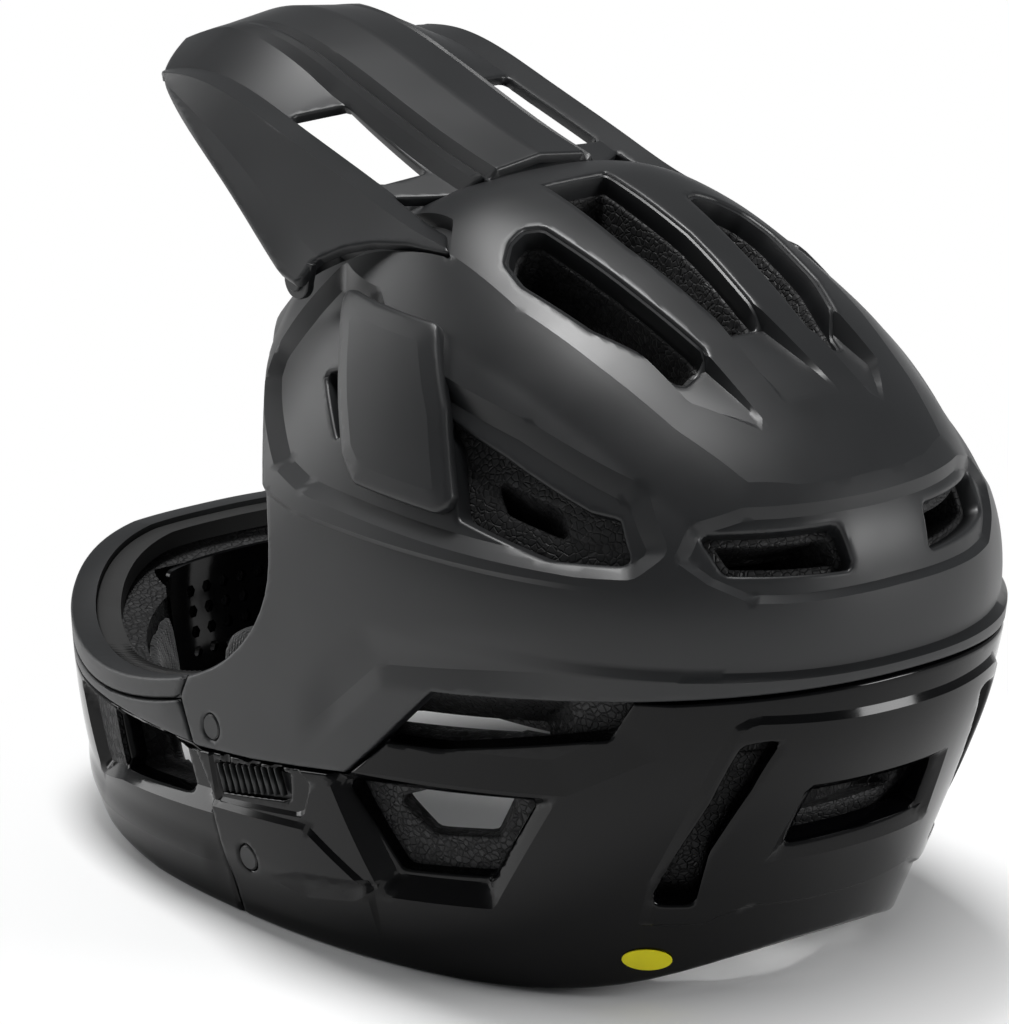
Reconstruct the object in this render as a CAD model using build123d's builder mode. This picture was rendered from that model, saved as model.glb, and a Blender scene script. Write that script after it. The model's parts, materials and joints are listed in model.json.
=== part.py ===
from math import copysign, cos, pi, sin
import os

from build123d import *

os.makedirs("parts", exist_ok=True)

# Overall size of the shell, front towards -Y, resting on its bottom edge
shell_width = 218
shell_length = 368
shell_height = 241
half_width = shell_width / 2
half_length = shell_length / 2
overrun = 20

# Layers from the outside in
shell_wall = 3.0
seat_gap = 0.3
shut_line = 0.4
liner_depth = shell_wall + seat_gap
cavity_side = 24
cavity_front = 26
cavity_rear = 38
cavity_top = 30
slip_gap = 3.0
slip_wall = 1.2
head_pad_thickness = 8.0
pad_border_width = 3.0
pad_border_thickness = 3.0
lower_side = 22
lower_rear = 28
chin_side = 20
chin_front = 28

# Egg-shaped level outlines: height, half width, widest point, front and rear as shares,
# then how square the front and the rear are
egg_row_shares = [
    (0.000, 0.945, -0.152, -0.924, 0.750, 2.40, 2.15),
    (0.123, 0.982, -0.120, -0.973, 0.821, 2.50, 2.20),
    (0.246, 1.000, -0.065, -1.000, 0.891, 2.60, 2.25),
    (0.410, 1.000, 0.054, -0.978, 0.984, 2.60, 2.25),
    (0.594, 0.963, 0.174, -0.679, 1.000, 2.40, 2.25),
    (0.730, 0.862, 0.185, -0.489, 0.902, 2.30, 2.15),
    (0.851, 0.734, 0.140, -0.345, 0.641, 2.20, 2.10),
    (0.934, 0.565, 0.090, -0.165, 0.413, 2.10, 2.00),
    (0.988, 0.330, 0.087, -0.025, 0.200, 2.00, 2.00),
    (1.000, 0.120, 0.087, 0.045, 0.130, 2.00, 2.00),
]
points_per_row = 20

# Side view: seams, edges and windows as shares of half length and of height
eye_edge_shares = [
    (-1.000, 0.352), (-0.897, 0.320), (-0.636, 0.275), (-0.321, 0.304), (-0.125, 0.369),
    (0.000, 0.500), (-0.065, 0.676), (-0.163, 0.785), (-0.326, 0.782), (-0.520, 0.775),
]
bottom_edge_shares = [(-1.150, 0.105), (-0.967, 0.078), (-0.761, 0.033), (-0.400, 0.000)]
bottom_rear_shares = [(0.380, 0.000), (0.543, 0.008), (0.652, 0.026), (0.800, 0.080), (1.150, 0.240)]
belt_shares = [
    (-0.228, 0.222), (-0.054, 0.238), (0.201, 0.270), (0.272, 0.318), (0.418, 0.423),
    (0.788, 0.459), (1.150, 0.495),
]
chin_seam_shares = [(-0.217, 0.363), (-0.269, 0.287), (-0.228, 0.222), (-0.179, 0.165), (-0.147, 0.066), (-0.100, -0.060)]
temple_window_shares = [
    (0.304, 0.780), (0.478, 0.746), (0.663, 0.700), (0.712, 0.697), (0.761, 0.640), (0.625, 0.633),
    (0.435, 0.660), (0.370, 0.745),
]
temple_slot_shares = [(-0.015, 0.775), (0.040, 0.790), (0.110, 0.730), (0.090, 0.705)]
belt_slot_shares = [(0.285, 0.335), (0.425, 0.410), (0.775, 0.446), (0.735, 0.398), (0.420, 0.342)]
cheek_window_shares = [(0.180, 0.258), (0.600, 0.300), (0.480, 0.140), (0.275, 0.125)]
cheek_opening_shares = [(0.265, 0.232), (0.377, 0.266), (0.541, 0.270), (0.484, 0.205), (0.346, 0.190)]
side_grille_shares = [(-0.165, 0.213), (0.050, 0.240), (0.048, 0.200), (-0.152, 0.172)]
chin_vent_shares = [(-0.545, 0.210), (-0.295, 0.217), (-0.262, 0.145), (-0.510, 0.122)]
rear_slot_shares = [(0.690, 0.170), (0.755, 0.165), (0.930, 0.405), (0.880, 0.410)]
temple_cover_shares = [
    (-0.016, 0.850), (0.141, 0.685), (0.190, 0.657), (0.402, 0.655), (0.424, 0.668),
    (0.348, 0.775), (0.240, 0.865),
]

# Plan view: crown vents as shares of half width and of half length
outer_vent_shares = [
    (0.460, 0.265), (0.395, 0.225), (0.320, 0.220), (0.272, 0.245), (0.225, 0.460), (0.200, 0.620),
    (0.310, 0.640), (0.430, 0.470), (0.480, 0.320),
]
centre_vent_shares = [(0.120, 0.125), (0.115, 0.350), (0.075, 0.580), (-0.075, 0.580), (-0.115, 0.350), (-0.120, 0.125)]
vent_corner = 3.0
vent_floor_share = 0.60

# Rear view: band ports and rear window as shares of half width and of height
rear_port_shares = [(0.165, 0.690), (0.150, 0.628), (0.520, 0.634), (0.545, 0.684)]
rear_window_shares = [(0.235, 0.322), (0.255, 0.240), (-0.255, 0.240), (-0.235, 0.322)]
rear_cut_start_share = 0.45
window_corner = 2.5

# Pieces that lie on the shells
trim_height = 8.0
trim_depth = 16.0
cover_thickness = 2.4
cover_gap = 0.1
grille_recess = 0.8
grille_thickness = 2.0
grille_rib_pitch = 4.0
grille_slot_width = 1.8
grille_slot_height = 7.0
grille_slot_count = 9
cap_diameter = 9.0
cap_clearance = 0.15
bolt_diameter = 5.0
bolt_clearance = 0.1
bolt_length = 5.4
cap_depth = 2.6
cap_edge = 0.6
tongue_thickness = 5.0
tongue_clearance = 0.5
cap_place_shares = [(-0.171, 0.262), (-0.076, 0.094)]
tongue_shares = [(-0.330, 0.285), (-0.120, 0.290), (-0.030, 0.175), (-0.025, 0.050), (-0.330, 0.050)]
badge_length = 16.0
badge_width = 8.0
badge_thickness = 0.8
badge_place_share = 0.066
badge_turn = 50
badge_axis_y = 60

# Visor: stations along its length, with heights across it from the crest out to the rim
visor_thickness = 3.0
visor_front = -158
visor_length = 190
visor_half_width = 89
visor_station_shares = [0.00, 0.26, 0.50, 0.726, 0.874, 1.00]
visor_crest_heights = [262, 267.5, 260.5, 252, 247.5, 245.5]
visor_slot_heights = [260, 257.5, 248.5, 239, 238.5, 238]
visor_shoulder_heights = [258.5, 260.5, 252, 241, 234, 230]
visor_rim_heights = [253.5, 253, 241, 221, 211, 207]
visor_rim_shares = [0.74, 0.78, 0.93, 0.99, 1.00, 1.00]
visor_band_half = 18
visor_band_step = 3.5
visor_slot_inner = 26
visor_slot_outer = 46
visor_slot_front = -68
visor_slot_rear = -23
visor_shoulder_half = 62
visor_rail_inner = 55
visor_corner_y = -110
visor_corner_half = 66
visor_side_y = -58
visor_side_half = 83
visor_centre_rear = 5
visor_notch_y = -15
visor_ceiling = 300
visor_rail_rear = 29
visor_wing_rear = -6
visor_wing_half = 92
visor_rear_half = 20
visor_slot_corner = 2.0
pivot_y = -24
pivot_z = 210
lug_diameter = 15
lug_thickness = 3.0
lug_gap = 0.3
lug_place = 75
lug_top = 229.5
boss_diameter = 13
pivot_screw_diameter = 5.0
pivot_screw_length = 9.0
pivot_head_diameter = 10.0
pivot_head_thickness = 2.0
pivot_clearance = 0.05

# Chin strap
strap_width = 20
strap_thickness = 1.8
strap_y = 24
strap_top = 96
strap_place = 80.5
strap_low = 15
strap_turn = 52
strap_sag = 4
strap_bend_share = 0.62
tongue_tail = 8
tongue_width = 18
tongue_thickness_buckle = 2.4
buckle_corner = 4.0
buckle_edge = 1.0
button_pocket = 9.0
button_proud = 3.5
rivet_clearance = 0.3
keeper_height = 66
keeper_wall = 1.2
keeper_width = 6
buckle_length = 34
buckle_width = 26
buckle_height = 9
tongue_reach = 16
button_length = 8
button_width = 12
button_height = 4
button_travel = 3.0
slide_clearance = 0.1
rivet_diameter = 5.0
rivet_head = 11.0
rivet_head_thickness = 1.6
rivet_height = 92
rivet_end = 94

# Cheek pads and their snap studs
pad_front = -58
pad_back = 6
pad_bottom = 22
pad_top = 88
pad_inner = 62
pad_corner = 12
pad_channel = 3.0
pad_crown_shares = [(-0.15, 0.90), (0.35, 1.00), (0.80, 0.92), (1.00, 0.74)]
stud_diameter = 7.0
stud_base_diameter = 13.0
stud_base_thickness = 1.6
stud_plane = 82
stud_length = 7.4
socket_plane = 87.4
socket_length = 5.0
socket_diameter = 14.0
stud_clearance = 0.25
stud_place_shares = [(0.36, 0.78), (0.80, 0.78), (0.58, 0.24)]

# Mouth grille and inner linings
mouth_half_width = 36
mouth_bottom_share = 0.150
mouth_top_share = 0.285
mouth_wall = 2.0
mouth_frame = 4.0
mouth_hole = 2.3
mouth_pitch_x = 8.0
mouth_pitch_z = 7.0
mouth_columns = 8
mouth_rows = 4
lining_thickness = 4.0
liner_split_share = 0.362
band_split_share = 0.600
lining_bottom_share = 0.05
lining_rear = -62
neck_trim_height = 7.0
neck_trim_rise = 1.5
slip_bottom_share = 0.560
vent_liner_lip = 2.5
belt_slit_shares = [(0.430, 0.400), (0.440, 0.418), (0.665, 0.430), (0.660, 0.412)]
temple_opening_shares = [(0.450, 0.722), (0.600, 0.700), (0.640, 0.662), (0.500, 0.680)]
brow_pad_shares = [(-0.600, 0.775), (0.050, 0.775), (0.050, 0.850), (-0.600, 0.850)]
temple_pad_shares = [(-0.020, 0.585), (0.330, 0.585), (0.280, 0.720), (0.020, 0.720)]
rear_pad_shares = [(0.520, 0.585), (1.000, 0.585), (1.000, 0.715), (0.520, 0.715)]
crown_pad_shares = [(0.130, 0.060), (0.215, 0.060), (0.205, 0.450), (0.130, 0.450)]
pad_groove = 2.5
anchor_diameter = 12
anchor_clearance = 1.0
anchor_height_share = 0.640
slip_centre = 45
slip_edge_gap = 4.0


def egg_faces(side, front, rear, top):
    """Level outlines of the shell form, drawn in by its four insets."""
    x_scale = 1 - side / half_width
    y_scale = 1 - (front + rear) / shell_length
    y_shift = (front - rear) / 2
    z_scale = 1 - top / shell_height
    faces = []
    for height, reach, middle, nose, tail, nose_power, tail_power in egg_row_shares:
        points = []
        for step in range(points_per_row):
            turn = 2 * pi * step / points_per_row
            power = tail_power if cos(turn) > 0 else nose_power
            span = tail - middle if cos(turn) > 0 else middle - nose
            x_share = reach * copysign(abs(sin(turn)) ** (2 / power), sin(turn))
            y_share = middle + span * copysign(abs(cos(turn)) ** (2 / power), cos(turn))
            points.append((x_share * half_width * x_scale, y_share * half_length * y_scale + y_shift))
        with BuildSketch(Plane.XY.offset(height * shell_height * z_scale)) as level:
            with BuildLine():
                Spline(*points, periodic=True)
            make_face()
        faces.append(level.sketch.face())
    return faces


def inset_faces(depth):
    """The shell form drawn in evenly."""
    return egg_faces(depth, depth, depth, depth)


def cavity_faces(depth):
    """The head cavity of the crown liner, drawn in further by a depth."""
    return egg_faces(cavity_side + depth, cavity_front + depth, cavity_rear + depth, cavity_top + depth)


def side_reach(y, z):
    """Half width of the shell form at a side-view place, read between two outlines."""
    level = z / shell_height
    for low, high in zip(egg_row_shares, egg_row_shares[1:]):
        if low[0] <= level <= high[0]:
            blend = (level - low[0]) / (high[0] - low[0])
            reach, middle, nose, tail, nose_power, tail_power = [
                a + blend * (b - a) for a, b in zip(low[1:], high[1:])
            ]
            from_middle = y / half_length - middle
            span = tail - middle if from_middle > 0 else middle - nose
            power = tail_power if from_middle > 0 else nose_power
            return half_width * reach * (1 - (abs(from_middle) / span) ** power) ** (1 / power)
    return 0


def side_points(shares, y_move=0, z_move=0):
    """Side-view points in millimetres from shares."""
    return [(y * half_length + y_move, z * shell_height + z_move) for y, z in shares]


def plan_points(shares, sign=1):
    """Plan-view points in millimetres from shares."""
    return [(sign * x * half_width, y * half_length) for x, y in shares]


def rear_points(shares, sign=1):
    """Rear-view points in millimetres from shares."""
    return [(sign * x * half_width, z * shell_height) for x, z in shares]


def side_sketch(points, corner=0):
    """Closed side-view outline on the middle plane."""
    with BuildSketch(Plane.YZ) as outline:
        Polygon(*points, align=None)
        if corner > 0:
            fillet(outline.vertices(), radius=corner)
    return outline.sketch


# Regions of the side view
far = 1.2
upper_region = side_points([(-far, far), (far, far)]) + side_points(belt_shares[::-1], z_move=shut_line)
upper_region += side_points(chin_seam_shares[1::-1]) + side_points([(-far, chin_seam_shares[0][1])])
lower_region = side_points(belt_shares) + side_points([(far, chin_seam_shares[-1][1])])
lower_region += side_points(chin_seam_shares[:1:-1])
chin_region = side_points(chin_seam_shares, y_move=-shut_line)
chin_region += side_points([(-far, chin_seam_shares[-1][1]), (-far, chin_seam_shares[0][1])])

# Everything open in the side view: the eye opening and what lies under the bottom edge
with BuildSketch(Plane.YZ) as eye_opening:
    with BuildLine():
        eye_edge = Spline(*side_points(eye_edge_shares))
        Polyline(eye_edge @ 1, *side_points([(-far, eye_edge_shares[-1][1]), (-far, eye_edge_shares[0][1])]), eye_edge @ 0)
    make_face()
with BuildSketch(Plane.YZ) as under_edge:
    with BuildLine():
        front_edge = Spline(*side_points(bottom_edge_shares))
        rear_edge = Spline(*side_points(bottom_rear_shares))
        Line(front_edge @ 1, rear_edge @ 0)
        Polyline(rear_edge @ 1, (half_length * far, -overrun), (-half_length * far, -overrun), front_edge @ 0)
    make_face()

# Window outlines
temple_window = side_sketch(side_points(temple_window_shares), window_corner)
temple_slot = side_sketch(side_points(temple_slot_shares))
belt_slot = side_sketch(side_points(belt_slot_shares), window_corner)
cheek_window = side_sketch(side_points(cheek_window_shares), window_corner)
cheek_opening = side_sketch(side_points(cheek_opening_shares), window_corner)
grille_window = side_sketch(side_points(side_grille_shares))
chin_vent = side_sketch(side_points(chin_vent_shares), window_corner)
rear_slot = side_sketch(side_points(rear_slot_shares), window_corner)
cover_outline = side_sketch(side_points(temple_cover_shares), window_corner)
tongue_outline = side_sketch(side_points(tongue_shares), window_corner)
with BuildSketch(Plane.XY.offset(vent_floor_share * shell_height)) as crown_vents:
    for sign in (1, -1):
        with BuildSketch(Plane.XY, mode=Mode.PRIVATE) as outer_vent:
            Polygon(*plan_points(outer_vent_shares, sign), align=None)
            fillet(outer_vent.vertices(), radius=vent_corner)
        add(outer_vent.sketch)
    with BuildSketch(Plane.XY, mode=Mode.PRIVATE) as centre_vent:
        Polygon(*plan_points(centre_vent_shares), align=None)
        fillet(centre_vent.vertices(), radius=vent_corner)
    add(centre_vent.sketch)
rear_plane = Plane(origin=(0, rear_cut_start_share * half_length, 0), x_dir=(-1, 0, 0), z_dir=(0, 1, 0))
with BuildSketch(rear_plane) as rear_ports:
    for sign in (1, -1):
        Polygon(*rear_points(rear_port_shares, sign), align=None)
    fillet(rear_ports.vertices(), radius=window_corner)
with BuildSketch(rear_plane) as rear_window:
    Polygon(*rear_points(rear_window_shares), align=None)
    fillet(rear_window.vertices(), radius=window_corner)
mouth_plane = Plane(origin=(0, -half_length * rear_cut_start_share, 0), x_dir=(1, 0, 0), z_dir=(0, -1, 0))
mouth_height = (mouth_top_share - mouth_bottom_share) * shell_height
mouth_middle = (mouth_top_share + mouth_bottom_share) * shell_height / 2
with BuildSketch(mouth_plane) as mouth_vent:
    with Locations((0, mouth_middle)):
        RectangleRounded(2 * mouth_half_width, mouth_height, vent_corner)
through = half_width + overrun

# Thin outer skin that the three shells are cut from
with BuildPart() as outer_form:
    loft(inset_faces(0))
with BuildPart() as liner_form:
    loft(inset_faces(liner_depth))
with BuildPart() as tongue_form:
    loft(inset_faces(liner_depth + tongue_thickness))
with BuildPart() as lower_cavity:
    loft(egg_faces(lower_side, lower_side, lower_rear, 0))
with BuildPart() as skin:
    add(outer_form.part)
    loft(inset_faces(shell_wall), mode=Mode.SUBTRACT)
with BuildPart() as tongue_pockets:
    extrude(offset(tongue_outline, amount=tongue_clearance), amount=through, both=True)
    loft(inset_faces(liner_depth + tongue_thickness + tongue_clearance), mode=Mode.SUBTRACT)
slip_region = side_points([(-far, slip_bottom_share), (far, slip_bottom_share), (far, far), (-far, far)])
lining_region = [(-half_length * far, lining_bottom_share * shell_height), (lining_rear, lining_bottom_share * shell_height)]
lining_region += [(lining_rear, shell_height / 2), (-half_length * far, shell_height / 2)]
lining_opening = eye_opening.sketch.moved(Pos(0, 0, -trim_height - lining_thickness))
badge_plane = Plane(
    origin=(0, badge_axis_y, badge_place_share * shell_height),
    x_dir=(-sin(badge_turn * pi / 180), cos(badge_turn * pi / 180), 0),
    z_dir=(cos(badge_turn * pi / 180), sin(badge_turn * pi / 180), 0),
)
cap_places = side_points(cap_place_shares)
stud_places = [
    (pad_front + y * (pad_back - pad_front), pad_bottom + z * (pad_top - pad_bottom)) for y, z in stud_place_shares
]
temple_opening = side_sketch(side_points(temple_opening_shares), window_corner)
belt_slit = side_sketch(side_points(belt_slit_shares))
lower_liner_region = side_points([(far, liner_split_share), (far, chin_seam_shares[-1][1])], z_move=-seat_gap)
lower_liner_region += side_points(chin_seam_shares[:0:-1])
lower_liner_region += side_points([(chin_seam_shares[0][0], liner_split_share)], z_move=-seat_gap)
trim_low_edge = under_edge.sketch.moved(Pos(0, 0, neck_trim_rise))
trim_top_edge = under_edge.sketch.moved(Pos(0, 0, neck_trim_height))
raised_edge = under_edge.sketch.moved(Pos(0, 0, neck_trim_height + seat_gap))
lowered_opening = eye_opening.sketch.moved(Pos(0, 0, -trim_height - seat_gap))
trim_opening = eye_opening.sketch.moved(Pos(0, 0, -trim_height))

# Upper shell: crown, temples, rear band and the cheeks above the belt
with BuildPart() as upper_shell:
    add(skin.part)
    extrude(side_sketch(upper_region), amount=through, both=True, mode=Mode.INTERSECT)
    for opening in (eye_opening.sketch, temple_window, temple_slot):
        extrude(opening, amount=through, both=True, mode=Mode.SUBTRACT)
    extrude(crown_vents.sketch, amount=shell_height, mode=Mode.SUBTRACT)
    extrude(rear_ports.sketch, amount=shell_length, mode=Mode.SUBTRACT)
    with BuildSketch(Plane.YZ) as upper_cap_hole:
        with Locations(cap_places[0]):
            Circle(cap_diameter / 2 + cap_clearance)
    extrude(upper_cap_hole.sketch, amount=through, both=True, mode=Mode.SUBTRACT)
    for sign in (1, -1):
        boss_plane = Plane(origin=(sign * (lug_place - lug_gap), pivot_y, pivot_z), x_dir=(0, 1, 0), z_dir=(-sign, 0, 0))
        with BuildSketch(boss_plane) as boss:
            Circle(boss_diameter / 2)
        extrude(boss.sketch, until=Until.NEXT)
        with BuildSketch(boss_plane) as boss_bore:
            Circle(pivot_screw_diameter / 2 + pivot_clearance)
        extrude(boss_bore.sketch, amount=pivot_screw_length, mode=Mode.SUBTRACT)
upper_shell.part.label = "upper_shell"
export_step(upper_shell.part, "parts/upper_shell.step")

# Lower shell: glossy rear and cheek sides below the belt
with BuildPart() as lower_shell:
    add(skin.part)
    extrude(side_sketch(lower_region), amount=through, both=True, mode=Mode.INTERSECT)
    for opening in (under_edge.sketch, belt_slot, cheek_window, grille_window, rear_slot):
        extrude(opening, amount=through, both=True, mode=Mode.SUBTRACT)
    extrude(rear_window.sketch, amount=shell_length, mode=Mode.SUBTRACT)
    with BuildSketch(Plane.YZ) as lower_cap_hole:
        with Locations(cap_places[1]):
            Circle(cap_diameter / 2 + cap_clearance)
    extrude(lower_cap_hole.sketch, amount=through, both=True, mode=Mode.SUBTRACT)
lower_shell.part.label = "lower_shell"
export_step(lower_shell.part, "parts/lower_shell.step")

# Chin bar with the two tongues that slip under the shells and take the bolts
with BuildPart() as chin_skin:
    add(skin.part)
    extrude(side_sketch(chin_region), amount=through, both=True, mode=Mode.INTERSECT)
with BuildPart() as chin_tongues:
    add(liner_form.part)
    add(tongue_form.part, mode=Mode.SUBTRACT)
    extrude(tongue_outline, amount=through, both=True, mode=Mode.INTERSECT)
with BuildPart() as chin_roots:
    loft(inset_faces(shell_wall / 2))
    add(tongue_form.part, mode=Mode.SUBTRACT)
    extrude(side_sketch(chin_region), amount=through, both=True, mode=Mode.INTERSECT)
    extrude(tongue_outline, amount=through, both=True, mode=Mode.INTERSECT)
with BuildPart() as chin_bar:
    add(chin_skin.part)
    add(chin_roots.part)
    add(chin_tongues.part)
    for opening in (under_edge.sketch, lowered_opening, chin_vent):
        extrude(opening, amount=through, both=True, mode=Mode.SUBTRACT)
    extrude(mouth_vent.sketch, amount=shell_length, mode=Mode.SUBTRACT)
    with BuildSketch(Plane.YZ) as bolt_holes:
        with Locations(*cap_places):
            Circle(bolt_diameter / 2 + bolt_clearance)
    extrude(bolt_holes.sketch, amount=through, both=True, mode=Mode.SUBTRACT)
chin_bar.part.label = "chin_bar"
export_step(chin_bar.part, "parts/chin_bar.step")

# Matte lip that caps the chin bar and its liner along the eye opening
with BuildPart() as chin_trim:
    add(outer_form.part)
    loft(inset_faces(trim_depth), mode=Mode.SUBTRACT)
    extrude(side_sketch(chin_region), amount=through, both=True, mode=Mode.INTERSECT)
    extrude(trim_opening, amount=through, both=True, mode=Mode.INTERSECT)
    extrude(eye_opening.sketch, amount=through, both=True, mode=Mode.SUBTRACT)
chin_trim.part.label = "chin_trim"
export_step(chin_trim.part, "parts/chin_trim.step")

# Foam liner round the head cavity, moulded as a crown and a band that meet at one level
band_level = band_split_share * shell_height
with BuildPart() as head_liner:
    add(liner_form.part)
    loft(cavity_faces(0), mode=Mode.SUBTRACT)
    head_region = side_points([(-far, liner_split_share), (far, liner_split_share), (far, far), (-far, far)])
    extrude(side_sketch(head_region), amount=through, both=True, mode=Mode.INTERSECT)
    extrude(eye_opening.sketch, amount=through, both=True, mode=Mode.SUBTRACT)
with BuildPart() as crown_liner:
    add(head_liner.part)
    with Locations((0, 0, band_level)):
        Box(2 * through, 2 * shell_length, shell_height, align=(Align.CENTER, Align.CENTER, Align.MIN), mode=Mode.INTERSECT)
    extrude(temple_opening, amount=through, both=True, mode=Mode.SUBTRACT)
    extrude(offset(crown_vents.sketch, amount=-vent_liner_lip), amount=shell_height, mode=Mode.SUBTRACT)
    extrude(offset(rear_ports.sketch, amount=-vent_liner_lip), amount=shell_length, mode=Mode.SUBTRACT)
crown_liner.part.label = "crown_liner"
export_step(crown_liner.part, "parts/crown_liner.step")
with BuildPart() as band_liner:
    add(head_liner.part)
    with Locations((0, 0, band_level - seat_gap)):
        Box(2 * through, 2 * shell_length, shell_height, align=(Align.CENTER, Align.CENTER, Align.MAX), mode=Mode.INTERSECT)
    extrude(belt_slit, amount=through, both=True, mode=Mode.SUBTRACT)
    with Locations(Pos(0, strap_y, rivet_height) * Rot(0, 90, 0)):
        Cylinder(rivet_diameter / 2 + bolt_clearance, 2 * (rivet_end + seat_gap), mode=Mode.SUBTRACT)
band_liner.part.label = "band_liner"
export_step(band_liner.part, "parts/band_liner.step")

# Foam liner of the cheeks and the nape
with BuildPart() as lower_liner:
    add(liner_form.part)
    add(lower_cavity.part, mode=Mode.SUBTRACT)
    extrude(side_sketch(lower_liner_region), amount=through, both=True, mode=Mode.INTERSECT)
    add(tongue_pockets.part, mode=Mode.SUBTRACT)
    for opening in (eye_opening.sketch, raised_edge, cheek_opening, belt_slit):
        extrude(opening, amount=through, both=True, mode=Mode.SUBTRACT)
    extrude(offset(rear_window.sketch, amount=-vent_liner_lip), amount=shell_length, mode=Mode.SUBTRACT)
    for y, z in stud_places:
        with Locations(Pos(0, y, z) * Rot(0, 90, 0)):
            Cylinder(
                socket_diameter / 2 + seat_gap, 2 * (socket_plane + socket_length + seat_gap), mode=Mode.SUBTRACT
            )
lower_liner.part.label = "lower_liner"
export_step(lower_liner.part, "parts/lower_liner.step")

# Foam liner of the chin bar
with BuildPart() as chin_liner:
    add(liner_form.part)
    loft(egg_faces(chin_side, chin_front, lower_rear, 0), mode=Mode.SUBTRACT)
    extrude(side_sketch(chin_region), amount=through, both=True, mode=Mode.INTERSECT)
    add(tongue_pockets.part, mode=Mode.SUBTRACT)
    for opening in (lowered_opening, raised_edge, chin_vent):
        extrude(opening, amount=through, both=True, mode=Mode.SUBTRACT)
    extrude(mouth_vent.sketch, amount=shell_length, mode=Mode.SUBTRACT)
chin_liner.part.label = "chin_liner"
export_step(chin_liner.part, "parts/chin_liner.step")

# Soft roll round the neck opening
with BuildPart() as neck_trim:
    add(liner_form.part)
    add(lower_cavity.part, mode=Mode.SUBTRACT)
    extrude(side_sketch(lower_liner_region), amount=through, both=True, mode=Mode.INTERSECT)
    extrude(trim_top_edge, amount=through, both=True, mode=Mode.INTERSECT)
    extrude(trim_low_edge, amount=through, both=True, mode=Mode.SUBTRACT)
neck_trim.part.label = "neck_trim"
export_step(neck_trim.part, "parts/neck_trim.step")

# Ribbed side grilles set flush under the belt
with BuildPart() as side_grilles:
    loft(inset_faces(grille_recess))
    loft(inset_faces(grille_recess + grille_thickness), mode=Mode.SUBTRACT)
    grille_outline = offset(grille_window, amount=-seat_gap)
    extrude(grille_outline, amount=through, both=True, mode=Mode.INTERSECT)
    with BuildSketch(Plane.YZ) as grille_slots:
        with Locations(grille_outline.center()):
            with GridLocations(grille_rib_pitch, grille_rib_pitch, grille_slot_count, 1):
                Rectangle(grille_slot_width, grille_slot_height)
    extrude(grille_slots.sketch, amount=through, both=True, mode=Mode.SUBTRACT)
with BuildPart() as side_grille_left:
    add(side_grilles.solids().sort_by(Axis.X)[-1])
side_grille_left.part.label = "side_grille_left"
export_step(side_grille_left.part, "parts/side_grille_left.step")
with BuildPart() as side_grille_right:
    add(side_grilles.solids().sort_by(Axis.X)[0])
side_grille_right.part.label = "side_grille_right"
export_step(side_grille_right.part, "parts/side_grille_right.step")

# Four bolts with flush round caps that hold the chin bar
with BuildPart() as chin_bolts:
    for side in (1, -1):
        for y, z in cap_places:
            cap_face = side_reach(y, z)
            with Locations(Pos(side * (cap_face - cap_depth / 2), y, z) * Rot(0, side * 90, 0)):
                Cylinder(cap_diameter / 2, cap_depth)
                chamfer(chin_bolts.faces().sort_by(Axis.X)[-1 if side > 0 else 0].edges(), length=cap_edge)
            with Locations(Pos(side * (cap_face - cap_depth - bolt_length / 2), y, z) * Rot(0, side * 90, 0)):
                Cylinder(bolt_diameter / 2, bolt_length)
chin_bolts.part.label = "chin_bolts"
export_step(chin_bolts.part, "parts/chin_bolts.step")

# Raised cover plates on the temples
with BuildPart() as temple_covers:
    loft(inset_faces(-cover_thickness))
    loft(inset_faces(-cover_gap), mode=Mode.SUBTRACT)
    extrude(cover_outline, amount=through, both=True, mode=Mode.INTERSECT)
with BuildPart() as temple_cover_left:
    add(temple_covers.solids().sort_by(Axis.X)[-1])
temple_cover_left.part.label = "temple_cover_left"
export_step(temple_cover_left.part, "parts/temple_cover_left.step")
with BuildPart() as temple_cover_right:
    add(temple_covers.solids().sort_by(Axis.X)[0])
temple_cover_right.part.label = "temple_cover_right"
export_step(temple_cover_right.part, "parts/temple_cover_right.step")

# Plain oval badge low on the left rear
with BuildPart() as badge:
    loft(inset_faces(-badge_thickness))
    loft(inset_faces(-cover_gap), mode=Mode.SUBTRACT)
    with BuildSketch(badge_plane) as badge_outline:
        Ellipse(badge_length / 2, badge_width / 2)
    extrude(badge_outline.sketch, amount=through, mode=Mode.INTERSECT)
badge.part.label = "badge"
export_step(badge.part, "parts/badge.step")

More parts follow.
